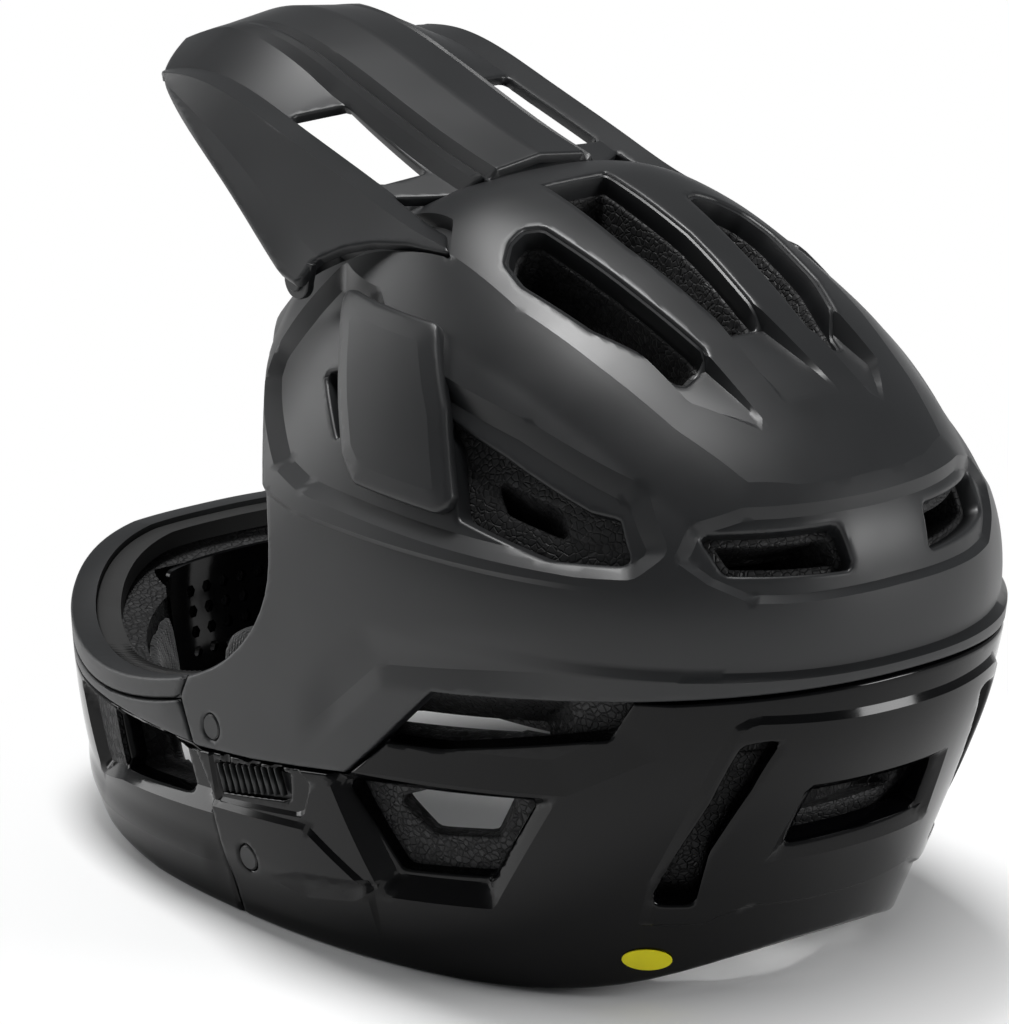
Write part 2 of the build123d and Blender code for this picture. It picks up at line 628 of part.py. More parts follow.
# Visor: arched sections lofted from tip to rear, then cut to its plan outline
visor_sections = []
for station in range(len(visor_station_shares)):
    rim_half = visor_half_width * visor_rim_shares[station]
    crest = visor_crest_heights[station]
    half_top = [
        (visor_band_half, crest),
        (visor_band_half + visor_band_step, crest - visor_band_step),
        (visor_slot_outer, visor_slot_heights[station]),
        (visor_shoulder_half, visor_shoulder_heights[station]),
        (rim_half, visor_rim_heights[station]),
    ]
    top_line = [(-x, z) for x, z in half_top[::-1]] + half_top
    under_line = [(x, z - visor_thickness) for x, z in top_line[::-1]]
    station_y = visor_front + visor_length * visor_station_shares[station]
    with BuildSketch(Plane(origin=(0, station_y, 0), x_dir=(1, 0, 0), z_dir=(0, -1, 0))) as visor_section:
        Polygon(*top_line, *under_line, align=None)
    visor_sections.append(visor_section.sketch.face())
with BuildPart() as visor:
    loft(visor_sections)
    with BuildSketch() as visor_outline:
        with BuildLine():
            ThreePointArc((-visor_corner_half, visor_corner_y), (0, visor_front), (visor_corner_half, visor_corner_y))
            Polyline(
                (visor_corner_half, visor_corner_y), (visor_side_half, visor_side_y), (visor_wing_half, visor_wing_rear),
                (visor_shoulder_half, visor_wing_rear), (visor_shoulder_half, visor_rail_rear),
                (visor_rail_inner, visor_rail_rear), (visor_slot_outer, visor_notch_y),
                (visor_rear_half, visor_centre_rear), (0, visor_centre_rear),
            )
            mirror(about=Plane.YZ)
        make_face()
    extrude(visor_outline.sketch, amount=visor_ceiling, mode=Mode.INTERSECT)
    with BuildSketch() as visor_slots:
        for sign in (1, -1):
            Polygon(
                (sign * visor_slot_inner, visor_slot_front), (sign * visor_slot_outer, visor_slot_front),
                (sign * visor_slot_outer, visor_slot_rear), (sign * visor_slot_inner, visor_slot_rear),
                align=None,
            )
        fillet(visor_slots.vertices(), radius=visor_slot_corner)
    extrude(visor_slots.sketch, amount=visor_ceiling, mode=Mode.SUBTRACT)
    for side in (1, -1):
        with BuildSketch(Plane(origin=(side * lug_place, 0, 0), x_dir=(0, 1, 0), z_dir=(1, 0, 0))) as lug:
            with Locations((pivot_y, pivot_z)):
                Circle(lug_diameter / 2)
            with Locations((pivot_y, (pivot_z + lug_top) / 2)):
                Rectangle(lug_diameter, lug_top - pivot_z)
            with Locations((pivot_y, pivot_z)):
                Circle(pivot_screw_diameter / 2 + pivot_clearance, mode=Mode.SUBTRACT)
        extrude(lug.sketch, amount=side * lug_thickness)
visor.part.label = "visor"
export_step(visor.part, "parts/visor.step")

# Pivot screws: heads outside the lugs, threads in the shell bosses
with BuildPart() as visor_screws:
    for side in (1, -1):
        head_face = lug_place + lug_thickness + lug_gap
        with Locations(Pos(side * (head_face + pivot_head_thickness / 2), pivot_y, pivot_z) * Rot(0, 90, 0)):
            Cylinder(pivot_head_diameter / 2, pivot_head_thickness)
        with Locations(Pos(side * (head_face - pivot_screw_length / 2), pivot_y, pivot_z) * Rot(0, 90, 0)):
            Cylinder(pivot_screw_diameter / 2, pivot_screw_length)
visor_screws.part.label = "visor_screws"
export_step(visor_screws.part, "parts/visor_screws.step")

# Low-friction layer that turns inside the crown liner
with BuildPart() as slip_liner:
    loft(cavity_faces(slip_gap))
    loft(cavity_faces(slip_gap + slip_wall), mode=Mode.SUBTRACT)
    extrude(side_sketch(slip_region), amount=through, both=True, mode=Mode.INTERSECT)
    extrude(eye_opening.sketch.moved(Pos(0, slip_edge_gap, slip_edge_gap)), amount=through, both=True, mode=Mode.SUBTRACT)
    extrude(crown_vents.sketch, amount=shell_height, mode=Mode.SUBTRACT)
slip_liner.part.label = "slip_liner"
export_step(slip_liner.part, "parts/slip_liner.step")

# Elastomer anchors between the liner and the slip layer
with BuildPart() as slip_anchors:
    anchor_level = anchor_height_share * shell_height
    for direction in ((1, 0, 0), (0, 1, 0), (-1, 0, 0)):
        with BuildSketch(Plane(origin=(0, slip_centre, anchor_level), z_dir=direction)) as anchor_round:
            Circle(anchor_diameter / 2)
        extrude(anchor_round.sketch, amount=through)
    loft(cavity_faces(seat_gap), mode=Mode.INTERSECT)
    loft(cavity_faces(slip_gap - anchor_clearance), mode=Mode.SUBTRACT)
slip_anchors.part.label = "slip_anchors"
export_step(slip_anchors.part, "parts/slip_anchors.step")

# Comfort pads on the slip layer: a thin bound border round a thick core
pad_depth = slip_gap + slip_wall + seat_gap
brow_outline = side_sketch(side_points(brow_pad_shares), window_corner)
temple_outline = side_sketch(side_points(temple_pad_shares), pad_corner)
rear_outline = side_sketch(side_points(rear_pad_shares), window_corner)
brow_edge = eye_opening.sketch.moved(Pos(0, slip_edge_gap, slip_edge_gap))
with BuildSketch(Plane.XY.offset(anchor_level)) as crown_strips:
    for sign in (1, -1):
        Polygon(*plan_points(crown_pad_shares, sign), align=None)
    fillet(crown_strips.vertices(), radius=vent_corner)
with BuildPart() as pad_cavity:
    loft(cavity_faces(pad_depth))
with BuildPart() as pad_borders:
    add(pad_cavity.part)
    loft(cavity_faces(pad_depth + pad_border_thickness), mode=Mode.SUBTRACT)
with BuildPart() as pad_cores:
    add(pad_cavity.part)
    loft(cavity_faces(pad_depth + head_pad_thickness), mode=Mode.SUBTRACT)
with BuildPart() as brow_core:
    add(pad_cores.part)
    extrude(offset(brow_outline, amount=-pad_border_width), amount=through, both=True, mode=Mode.INTERSECT)
    extrude(brow_edge.moved(Pos(0, pad_border_width, 0)), amount=through, both=True, mode=Mode.SUBTRACT)
with BuildPart() as brow_pad:
    add(pad_borders.part)
    extrude(brow_outline, amount=through, both=True, mode=Mode.INTERSECT)
    extrude(brow_edge, amount=through, both=True, mode=Mode.SUBTRACT)
    add(brow_core.part)
brow_pad.part.label = "brow_pad"
export_step(brow_pad.part, "parts/brow_pad.step")
with BuildPart() as temple_cores:
    add(pad_cores.part)
    extrude(offset(temple_outline, amount=-pad_border_width), amount=through, both=True, mode=Mode.INTERSECT)
with BuildPart() as temple_pads:
    add(pad_borders.part)
    extrude(temple_outline, amount=through, both=True, mode=Mode.INTERSECT)
    add(temple_cores.part)
temple_pads.part.label = "temple_pads"
export_step(temple_pads.part, "parts/temple_pads.step")
with BuildPart() as rear_core:
    add(pad_cores.part)
    extrude(offset(rear_outline, amount=-pad_border_width), amount=through, both=True, mode=Mode.INTERSECT)
with BuildPart() as rear_pad:
    add(pad_borders.part)
    extrude(rear_outline, amount=through, both=True, mode=Mode.INTERSECT)
    add(rear_core.part)
rear_pad.part.label = "rear_pad"
export_step(rear_pad.part, "parts/rear_pad.step")
with BuildPart() as crown_cores:
    add(pad_cores.part)
    extrude(offset(crown_strips.sketch, amount=-pad_border_width / 2), amount=shell_height, mode=Mode.INTERSECT)
with BuildPart() as crown_pads:
    add(pad_borders.part)
    extrude(crown_strips.sketch, amount=shell_height, mode=Mode.INTERSECT)
    add(crown_cores.part)
crown_pads.part.label = "crown_pads"
export_step(crown_pads.part, "parts/crown_pads.step")

# Cheek pads: crowned blocks with a groove, seated on the cheek liner, and their snap studs
pad_outer = half_width - lower_side
pad_reach = pad_outer - pad_inner
pad_middle = ((pad_front + pad_back) / 2, (pad_bottom + pad_top) / 2)
with BuildPart() as cheek_pad_left:
    pad_sections = []
    for reach_share, size_share in pad_crown_shares:
        with BuildSketch(Plane.YZ.offset(pad_outer - reach_share * pad_reach)) as pad_section:
            with Locations(pad_middle):
                RectangleRounded(size_share * (pad_back - pad_front), size_share * (pad_top - pad_bottom), pad_corner)
        pad_sections.append(pad_section.sketch.face())
    loft(pad_sections)
    loft(egg_faces(lower_side + seat_gap, lower_side + seat_gap, lower_rear + seat_gap, 0), mode=Mode.INTERSECT)
    with BuildSketch(Plane.YZ.offset(pad_inner)) as pad_groove_line:
        with Locations(pad_middle):
            Rectangle(pad_back - pad_front, pad_groove)
    extrude(pad_groove_line.sketch, amount=pad_groove, mode=Mode.SUBTRACT)
    for y, z in stud_places:
        with Locations(Pos(stud_plane, y, z) * Rot(0, 90, 0)):
            Cylinder(stud_base_diameter / 2 + stud_clearance, half_width, align=(Align.CENTER, Align.CENTER, Align.MIN), mode=Mode.SUBTRACT)
cheek_pad_left.part.label = "cheek_pad_left"
export_step(cheek_pad_left.part, "parts/cheek_pad_left.step")
with BuildPart() as cheek_pad_right:
    add(mirror(cheek_pad_left.part, about=Plane.YZ))
cheek_pad_right.part.label = "cheek_pad_right"
export_step(cheek_pad_right.part, "parts/cheek_pad_right.step")
with BuildPart() as cheek_studs_left:
    for y, z in stud_places:
        with Locations(Pos(stud_plane, y, z) * Rot(0, 90, 0)):
            Cylinder(stud_base_diameter / 2, stud_base_thickness, align=(Align.CENTER, Align.CENTER, Align.MIN))
            Cylinder(stud_diameter / 2, stud_length + stud_base_thickness, align=(Align.CENTER, Align.CENTER, Align.MIN))
cheek_studs_left.part.label = "cheek_studs_left"
export_step(cheek_studs_left.part, "parts/cheek_studs_left.step")
with BuildPart() as cheek_studs_right:
    add(mirror(cheek_studs_left.part, about=Plane.YZ))
cheek_studs_right.part.label = "cheek_studs_right"
export_step(cheek_studs_right.part, "parts/cheek_studs_right.step")
with BuildPart() as stud_sockets:
    for side in (1, -1):
        for y, z in stud_places:
            with Locations(Pos(side * (socket_plane + socket_length / 2), y, z) * Rot(0, 90, 0)):
                Cylinder(socket_diameter / 2, socket_length)
                Cylinder(stud_diameter / 2 + stud_clearance, socket_length, mode=Mode.SUBTRACT)
stud_sockets.part.label = "stud_sockets"
export_step(stud_sockets.part, "parts/stud_sockets.step")

# Perforated mouth grille inside the chin bar
with BuildPart() as mouth_grille:
    loft(egg_faces(chin_side + seat_gap, chin_front + seat_gap, lower_rear, 0))
    loft(egg_faces(chin_side + seat_gap, chin_front + seat_gap + mouth_wall, lower_rear, 0), mode=Mode.SUBTRACT)
    with BuildSketch(mouth_plane) as mouth_frame_outline:
        with Locations((0, mouth_middle)):
            RectangleRounded(2 * (mouth_half_width + mouth_frame), mouth_height + 2 * mouth_frame, vent_corner)
    extrude(mouth_frame_outline.sketch, amount=shell_length, mode=Mode.INTERSECT)
    with BuildSketch(mouth_plane) as mouth_holes:
        with Locations((0, mouth_middle)):
            with GridLocations(mouth_pitch_x, mouth_pitch_z, mouth_columns, mouth_rows):
                RegularPolygon(mouth_hole, 6)
    extrude(mouth_holes.sketch, amount=shell_length, mode=Mode.SUBTRACT)
mouth_grille.part.label = "mouth_grille"
export_step(mouth_grille.part, "parts/mouth_grille.step")

# Fabric-covered linings inside the chin bar, left and right of the grille
with BuildPart() as chin_linings:
    loft(egg_faces(chin_side + seat_gap, chin_front + seat_gap, lower_rear, 0))
    loft(egg_faces(chin_side + lining_thickness, chin_front + lining_thickness, lower_rear, 0), mode=Mode.SUBTRACT)
    extrude(side_sketch(lining_region), amount=through, both=True, mode=Mode.INTERSECT)
    extrude(lining_opening, amount=through, both=True, mode=Mode.SUBTRACT)
    extrude(chin_vent, amount=through, both=True, mode=Mode.SUBTRACT)
    with BuildSketch() as lining_gap:
        Rectangle(2 * (mouth_half_width + mouth_frame + shut_line), shell_length)
    extrude(lining_gap.sketch, amount=shell_height, mode=Mode.SUBTRACT)
chin_linings.part.label = "chin_linings"
export_step(chin_linings.part, "parts/chin_linings.step")

# Chin strap: webbing from each anchor down and inwards to the buckle
buckle_half = buckle_length / 2
strap_end = buckle_half + seat_gap
with BuildPart() as strap_left:
    with BuildSketch(Plane(origin=(0, strap_y + strap_width / 2, 0), x_dir=(1, 0, 0), z_dir=(0, -1, 0))) as strap_profile:
        with BuildLine():
            outer_side = Line((strap_place, strap_top), (strap_place, strap_turn))
            outer_hang = Spline(
                (strap_place, strap_turn), (strap_bend_share * strap_place, strap_low + strap_sag),
                (strap_end + tongue_tail, strap_low - strap_thickness / 2),
                tangents=((0, -1), (-1, 0)),
            )
            inner_hang = Spline(
                (strap_place - strap_thickness, strap_turn),
                (strap_bend_share * strap_place - strap_thickness / 2, strap_low + strap_sag + strap_thickness),
                (strap_end + tongue_tail, strap_low + strap_thickness / 2),
                tangents=((0, -1), (-1, 0)),
            )
            Line(outer_hang @ 1, inner_hang @ 1)
            Polyline(inner_hang @ 0, (strap_place - strap_thickness, strap_top), (strap_place, strap_top))
        make_face()
    extrude(strap_profile.sketch, amount=strap_width)
    with Locations(Pos(strap_place, strap_y, rivet_height) * Rot(0, 90, 0)):
        Cylinder(rivet_diameter / 2 + rivet_clearance, strap_width, mode=Mode.SUBTRACT)
strap_left.part.label = "strap_left"
export_step(strap_left.part, "parts/strap_left.step")
with BuildPart() as strap_right:
    add(mirror(strap_left.part, about=Plane.YZ))
    with Locations((-(strap_end + tongue_tail / 2), strap_y, strap_low)):
        Box(tongue_tail, strap_width, strap_thickness)
strap_right.part.label = "strap_right"
export_step(strap_right.part, "parts/strap_right.step")

# Rivets that carry the strap ends in the liner
with BuildPart() as strap_rivets:
    for side in (1, -1):
        head_face = strap_place - strap_thickness - seat_gap
        with Locations(Pos(side * (head_face - rivet_head_thickness / 2), strap_y, rivet_height) * Rot(0, 90, 0)):
            Cylinder(rivet_head / 2, rivet_head_thickness)
        with Locations(Pos(side * (head_face + rivet_end) / 2, strap_y, rivet_height) * Rot(0, 90, 0)):
            Cylinder(rivet_diameter / 2, rivet_end - head_face)
strap_rivets.part.label = "strap_rivets"
export_step(strap_rivets.part, "parts/strap_rivets.step")

# Slide-in buckle: body, tongue and release button
with BuildPart() as buckle_body:
    with Locations((0, strap_y, strap_low)):
        Box(buckle_length, buckle_width, buckle_height)
    fillet(buckle_body.edges().filter_by(Axis.Z), radius=buckle_corner)
    chamfer(buckle_body.faces().sort_by(Axis.Z)[-1].edges(), length=buckle_edge)
    with Locations((buckle_half - tongue_reach / 2 - seat_gap / 2, strap_y, strap_low)):
        Box(tongue_reach + seat_gap, tongue_width + 2 * slide_clearance, tongue_thickness_buckle + 2 * slide_clearance, mode=Mode.SUBTRACT)
    with Locations((-buckle_half / 2, strap_y - buckle_width / 2 + button_pocket / 2, strap_low)):
        Box(button_length + 2 * slide_clearance, button_pocket, button_height + 2 * slide_clearance, mode=Mode.SUBTRACT)
buckle_body.part.label = "buckle_body"
export_step(buckle_body.part, "parts/buckle_body.step")
with BuildPart() as buckle_tongue:
    tongue_length = tongue_reach + tongue_tail - seat_gap
    with Locations((strap_end + tongue_tail - seat_gap - tongue_length / 2, strap_y, strap_low)):
        Box(tongue_length, tongue_width, tongue_thickness_buckle)
buckle_tongue.part.label = "buckle_tongue"
export_step(buckle_tongue.part, "parts/buckle_tongue.step")
with BuildPart() as buckle_button:
    button_depth = button_pocket - button_travel - seat_gap + button_proud
    with Locations((-buckle_half / 2, strap_y - buckle_width / 2 - button_proud + button_depth / 2, strap_low)):
        Box(button_length, button_depth, button_height)
buckle_button.part.label = "buckle_button"
export_step(buckle_button.part, "parts/buckle_button.step")

# Elastic keeper on the left strap
with BuildPart() as strap_keeper:
    with Locations((strap_place - strap_thickness / 2, strap_y, keeper_height)):
        Box(strap_thickness + 2 * (seat_gap + keeper_wall), strap_width + 2 * (seat_gap + keeper_wall), keeper_width)
        Box(strap_thickness + 2 * seat_gap, strap_width + 2 * seat_gap, keeper_width, mode=Mode.SUBTRACT)
strap_keeper.part.label = "strap_keeper"
export_step(strap_keeper.part, "parts/strap_keeper.step")
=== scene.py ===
import json
import math

import bmesh
import bpy
import numpy as np
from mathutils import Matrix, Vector
from mathutils.bvhtree import BVHTree


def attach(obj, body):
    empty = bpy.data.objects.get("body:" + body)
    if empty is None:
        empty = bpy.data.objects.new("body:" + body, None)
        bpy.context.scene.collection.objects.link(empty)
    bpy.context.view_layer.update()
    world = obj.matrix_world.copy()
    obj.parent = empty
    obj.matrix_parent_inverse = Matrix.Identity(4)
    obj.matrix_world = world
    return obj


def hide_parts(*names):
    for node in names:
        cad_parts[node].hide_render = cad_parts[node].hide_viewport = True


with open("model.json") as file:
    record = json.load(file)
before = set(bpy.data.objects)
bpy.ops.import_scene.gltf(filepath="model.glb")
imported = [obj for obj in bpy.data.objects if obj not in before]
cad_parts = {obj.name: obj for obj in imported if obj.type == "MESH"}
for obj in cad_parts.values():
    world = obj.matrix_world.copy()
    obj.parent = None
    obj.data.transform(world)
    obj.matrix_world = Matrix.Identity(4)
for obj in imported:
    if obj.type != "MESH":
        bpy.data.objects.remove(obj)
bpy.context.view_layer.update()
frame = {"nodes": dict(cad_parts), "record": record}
mm = 0.001
print("frame loaded")

# The shell form of the part, in mm: resting on its bottom edge, front towards -Y
form = {
    "halfWidth": 109.0,
    "halfLength": 184.0,
    "height": 241.0,
    "spacing": 2.3,  # between mesh points
}
# Level outlines: height, half width, widest point, front, rear, how square the front and rear are
eggRows = np.array([
    (-0.030, 0.936, -0.160, -0.910, 0.733, 2.38, 2.14),
    (0.000, 0.945, -0.152, -0.924, 0.750, 2.40, 2.15),
    (0.123, 0.982, -0.120, -0.973, 0.821, 2.50, 2.20),
    (0.246, 1.000, -0.065, -1.000, 0.891, 2.60, 2.25),
    (0.410, 1.000, 0.054, -0.978, 0.984, 2.60, 2.25),
    (0.594, 0.963, 0.174, -0.679, 1.000, 2.40, 2.25),
    (0.730, 0.862, 0.185, -0.489, 0.902, 2.30, 2.15),
    (0.851, 0.734, 0.140, -0.345, 0.641, 2.20, 2.10),
    (0.934, 0.565, 0.090, -0.165, 0.413, 2.10, 2.00),
    (0.988, 0.330, 0.087, -0.025, 0.200, 2.00, 2.00),
    (1.000, 0.120, 0.087, 0.045, 0.130, 2.00, 2.00),
    (1.001, 0.000, 0.087, 0.086, 0.088, 2.00, 2.00),
])


def smoothThrough(knots, values, at):
    # Natural cubic curve through rows of values, read at any place along the knots
    knots, values = np.asarray(knots, float), np.asarray(values, float)
    count = len(knots)
    gap = np.diff(knots)
    system, pull = np.eye(count), np.zeros(values.shape)
    for i in range(1, count - 1):
        system[i, i - 1 : i + 2] = gap[i - 1], 2 * (gap[i - 1] + gap[i]), gap[i]
        pull[i] = 6 * ((values[i + 1] - values[i]) / gap[i] - (values[i] - values[i - 1]) / gap[i - 1])
    bend = np.linalg.solve(system, pull)
    at = np.asarray(at, float)
    i = np.clip(np.searchsorted(knots, at, side="right") - 1, 0, count - 2)
    shape = (slice(None),) + (None,) * (values.ndim - 1)
    h, a, b = gap[i][shape], (knots[i + 1] - at)[shape], (at - knots[i])[shape]
    ends = (bend[i] * a**3 + bend[i + 1] * b**3) / (6 * h)
    return ends + (values[i] / h - bend[i] * h / 6) * a + (values[i + 1] / h - bend[i + 1] * h / 6) * b


def lengthAlong(points):
    return np.r_[0, np.cumsum(np.linalg.norm(np.diff(points, axis=0), axis=1))]


def curveThrough(points, count=40):
    points = np.asarray(points, float)
    along = lengthAlong(points)
    return smoothThrough(along, points, np.linspace(0, along[-1], count))


def faceNormals(points, faces):
    a, b, c = (points[faces[:, k]] for k in range(3))
    return np.cross(b - a, c - a)


def pointNormals(points, faces):
    normals = np.zeros_like(points)
    flat = faceNormals(points, faces)
    for k in range(3):
        np.add.at(normals, faces[:, k], flat)
    return normals / np.maximum(np.linalg.norm(normals, axis=1, keepdims=True), 1e-12)


def ringBand(low, high, lowStart, highStart):
    # Triangles between two closed rings with their own point counts
    faces, i, j = [], 0, 0
    while i < low or j < high:
        if j >= high or (i < low and (i + 1) * high <= (j + 1) * low):
            faces.append((lowStart + i, lowStart + (i + 1) % low, highStart + j % high))
            i += 1
        else:
            faces.append((lowStart + i % low, highStart + (j + 1) % high, highStart + j))
            j += 1
    return faces


def eggSheet(spacing):
    # Evenly spaced triangle mesh of the whole form
    reach = np.c_[eggRows[:, 1] * form["halfWidth"], eggRows[:, 0] * form["height"]]
    along = lengthAlong(reach)
    rows = smoothThrough(along, eggRows, np.linspace(0, along[-1], int(along[-1] * 1.12 / spacing)))
    rows[-1, 1] = 0
    fine = np.linspace(0, 2 * np.pi, 721)
    side, ahead = np.sin(fine), np.cos(fine)
    points, faces, starts, counts = [], [], [], []
    for height, wide, middle, nose, tail, nosePower, tailPower in rows:
        power = np.where(ahead > 0, tailPower, nosePower)
        span = np.where(ahead > 0, tail - middle, middle - nose)
        x = wide * np.sign(side) * abs(side) ** (2 / power) * form["halfWidth"]
        y = (middle + span * np.sign(ahead) * abs(ahead) ** (2 / power)) * form["halfLength"]
        length = np.r_[0, np.cumsum(np.hypot(np.diff(x), np.diff(y)))]
        number = max(8, 4 * round(length[-1] / spacing / 4))
        if wide <= 0:
            number, length = 1, length + 1
        place = np.linspace(0, length[-1], number, endpoint=False) if number > 1 else [0]
        level = np.full(number, height * form["height"])
        ring = np.c_[np.interp(place, length, x), np.interp(place, length, y), level]
        starts.append(sum(counts))
        counts.append(number)
        points.append(ring)
    for k in range(len(counts) - 2):
        faces += ringBand(counts[k], counts[k + 1], starts[k], starts[k + 1])
    last, pole = starts[-2], starts[-1]
    faces += [(last + i, last + (i + 1) % counts[-2], pole) for i in range(counts[-2])]
    points, faces = np.concatenate(points), np.array(faces)
    normals = pointNormals(points, faces)
    if (normals[:, 2] * (points[:, 2] > form["height"] * 0.8)).sum() < 0:
        faces = faces[:, ::-1]
        normals = -normals
    return {"p": points, "n": normals, "faces": faces, "held": np.zeros(len(points), bool)}


def plateSheet(xHalf, yFront, yRear, heightAt, spacing):
    # Arched sheet with rows across it, each row's points evenly spaced along its own section
    rows, half = np.arange(yFront, yRear, spacing), np.linspace(0, xHalf, 400)
    sections = [np.r_[0, np.cumsum(np.hypot(np.diff(half), np.diff(heightAt(half, half * 0 + y))))] for y in rows]
    count = int(max(section[-1] for section in sections) / spacing)
    points = []
    for y, section in zip(rows, sections):
        x = np.interp(np.linspace(0, section[-1], count + 1), section, half)
        x = np.r_[-x[:0:-1], x]
        points.append(np.c_[x, x * 0 + y, heightAt(x, x * 0 + y)])
    points, across = np.concatenate(points), 2 * count + 1
    i, j = np.meshgrid(np.arange(across - 1), np.arange(len(rows) - 1))
    corner = (j * across + i).ravel()
    flip = (points[corner, 0] < 0)[:, None]
    ahead, behind, over = corner + 1, corner + across, corner + across + 1
    one = np.where(flip, np.c_[corner, ahead, over], np.c_[corner, ahead, behind])
    two = np.where(flip, np.c_[corner, over, behind], np.c_[ahead, over, behind])
    faces = np.concatenate([one, two])
    return {"p": points, "n": pointNormals(points, faces), "faces": faces, "held": np.zeros(len(points), bool)}


def between(sheet, a, b, t):
    # Point and normal part way along an edge, bowed to follow the surface
    p, n = sheet["p"], sheet["n"]
    t = t[:, None]
    point = p[a] * (1 - t) + p[b] * t
    onA = point - ((point - p[a]) * n[a]).sum(1, keepdims=True) * n[a]
    onB = point - ((point - p[b]) * n[b]).sum(1, keepdims=True) * n[b]
    point = (point + onA * (1 - t) + onB * t) / 2
    normal = n[a] * (1 - t) + n[b] * t
    return point, normal / np.linalg.norm(normal, axis=1, keepdims=True)


def edgesOf(faces):
    return np.concatenate([faces[:, [0, 1]], faces[:, [1, 2]], faces[:, [2, 0]]])


def cutAlong(sheet, values, snap=0.3):
    # Splits the triangles that the zero line of the values crosses
    values = np.where(abs(values) < 1e-4, 0, values)
    faces = sheet["faces"]
    edges = np.unique(np.sort(edgesOf(faces), axis=1), axis=0)
    a, b = edges[values[edges[:, 0]] * values[edges[:, 1]] < 0].T
    t = values[a] / (values[a] - values[b])
    point, normal = between(sheet, a, b, t)
    nearA, nearB = (t < snap) & ~sheet["held"][a], (t > 1 - snap) & ~sheet["held"][b]
    who, share = np.r_[a[nearA], b[nearB]], np.r_[t[nearA], 1 - t[nearB]]
    order = np.argsort(-share)
    moved, turned = np.r_[point[nearA], point[nearB]][order], np.r_[normal[nearA], normal[nearB]][order]
    sheet["p"][who[order]], sheet["n"][who[order]] = moved, turned
    values[who] = 0
    held = sheet["held"] | (values == 0)
    cross = values[a] * values[b] < 0
    a, b = a[cross], b[cross]
    t = values[a] / (values[a] - values[b])
    point, normal = between(sheet, a, b, t)
    total = len(values)
    keys = a * total + b
    order = np.argsort(keys)
    keys = keys[order]

    def middle(u, v):
        key = np.minimum(u, v) * total + np.maximum(u, v)
        return total + order[np.searchsorted(keys, key)]

    sign = np.sign(values)[faces]
    plus, minus = (sign > 0).sum(1), (sign < 0).sum(1)
    lone = (plus + minus == 3) & (plus * minus > 0)
    hinge = (plus == 1) & (minus == 1)
    made = [faces[~(lone | hinge)]]
    if lone.any():
        odd = np.argmax(sign[lone] == -np.sign(sign[lone].sum(1))[:, None], axis=1)
        v = np.take_along_axis(faces[lone], (odd[:, None] + np.arange(3)) % 3, axis=1)
        m1, m2 = middle(v[:, 0], v[:, 1]), middle(v[:, 0], v[:, 2])
        made += [np.c_[v[:, 0], m1, m2], np.c_[m1, v[:, 1], v[:, 2]], np.c_[m1, v[:, 2], m2]]
    if hinge.any():
        zero = np.argmax(sign[hinge] == 0, axis=1)
        v = np.take_along_axis(faces[hinge], (zero[:, None] + np.arange(3)) % 3, axis=1)
        m = middle(v[:, 1], v[:, 2])
        made += [np.c_[v[:, 0], v[:, 1], m], np.c_[v[:, 0], m, v[:, 2]]]
    return {
        "p": np.concatenate([sheet["p"], point]),
        "n": np.concatenate([sheet["n"], normal]),
        "faces": np.concatenate(made),
        "held": np.r_[held, np.ones(len(point), bool)],
    }


def keepFaces(sheet, keep):
    faces = sheet["faces"][keep]
    used, faces = np.unique(faces, return_inverse=True)
    return {
        "p": sheet["p"][used],
        "n": sheet["n"][used],
        "faces": faces.reshape(-1, 3),
        "held": sheet["held"][used],
    }


def rounded(points, corner):
    # Closed outline with its corners taken off by arcs
    points = np.asarray(points, float)
    made = []
    for before, here, after in zip(np.roll(points, 1, 0), points, np.roll(points, -1, 0)):
        into, out = before - here, after - here
        u, v = into / np.linalg.norm(into), out / np.linalg.norm(out)
        half = math.acos(max(-1, min(1, float(u @ v)))) / 2
        back = min(corner / max(math.tan(half), 1e-3), 0.45 * np.linalg.norm(into), 0.45 * np.linalg.norm(out))
        for share in np.linspace(0, 1, 5):
            bowed = (1 - share) ** 2 * (here + u * back) + 2 * share * (1 - share) * here
            made.append(bowed + share**2 * (here + v * back))
    return np.array(made)


def outlineSteps(outline, step=3.0, short=0.0):
    # Evenly spaced points round a closed outline, which stop short of its start
    loop = np.concatenate([outline, outline[:1]])
    along = lengthAlong(loop)
    at = np.arange(0, along[-1] - short, step)
    return np.c_[np.interp(at, along, loop[:, 0]), np.interp(at, along, loop[:, 1])]


def insideBy(places, outline, reach=40.0):
    # Distance into a closed outline, negative outside
    low, high = outline.min(0) - reach, outline.max(0) + reach
    close = ((places > low) & (places < high)).all(1)
    spots = places[close]
    best = np.full(len(spots), 1e9)
    inside = np.zeros(len(spots), bool)
    for start, end in zip(outline, np.roll(outline, -1, 0)):
        along = end - start
        t = np.clip(((spots - start) @ along) / max(along @ along, 1e-12), 0, 1)
        best = np.minimum(best, ((spots - start - t[:, None] * along) ** 2).sum(1))
        if start[1] != end[1]:
            crossing = (start[1] > spots[:, 1]) != (end[1] > spots[:, 1])
            inside ^= crossing & (spots[:, 0] < (spots[:, 1] - start[1]) / (end[1] - start[1]) * along[0] + start[0])
    result = np.full(len(places), -reach)
    result[close] = np.where(inside, 1, -1) * np.sqrt(best)
    return result


def sideShares(shares, yMove=0.0, zMove=0.0):
    return [(y * form["halfLength"] + yMove, z * form["height"] + zMove) for y, z in shares]


def cornered(outline, corner):
    return rounded(outline, corner) if corner else np.asarray(outline, float)


def sideView(outline, corner=0.0):
    # Distance function of an outline drawn in the side view
    outline = cornered(outline, corner)
    return lambda p: insideBy(p[:, 1:], outline)


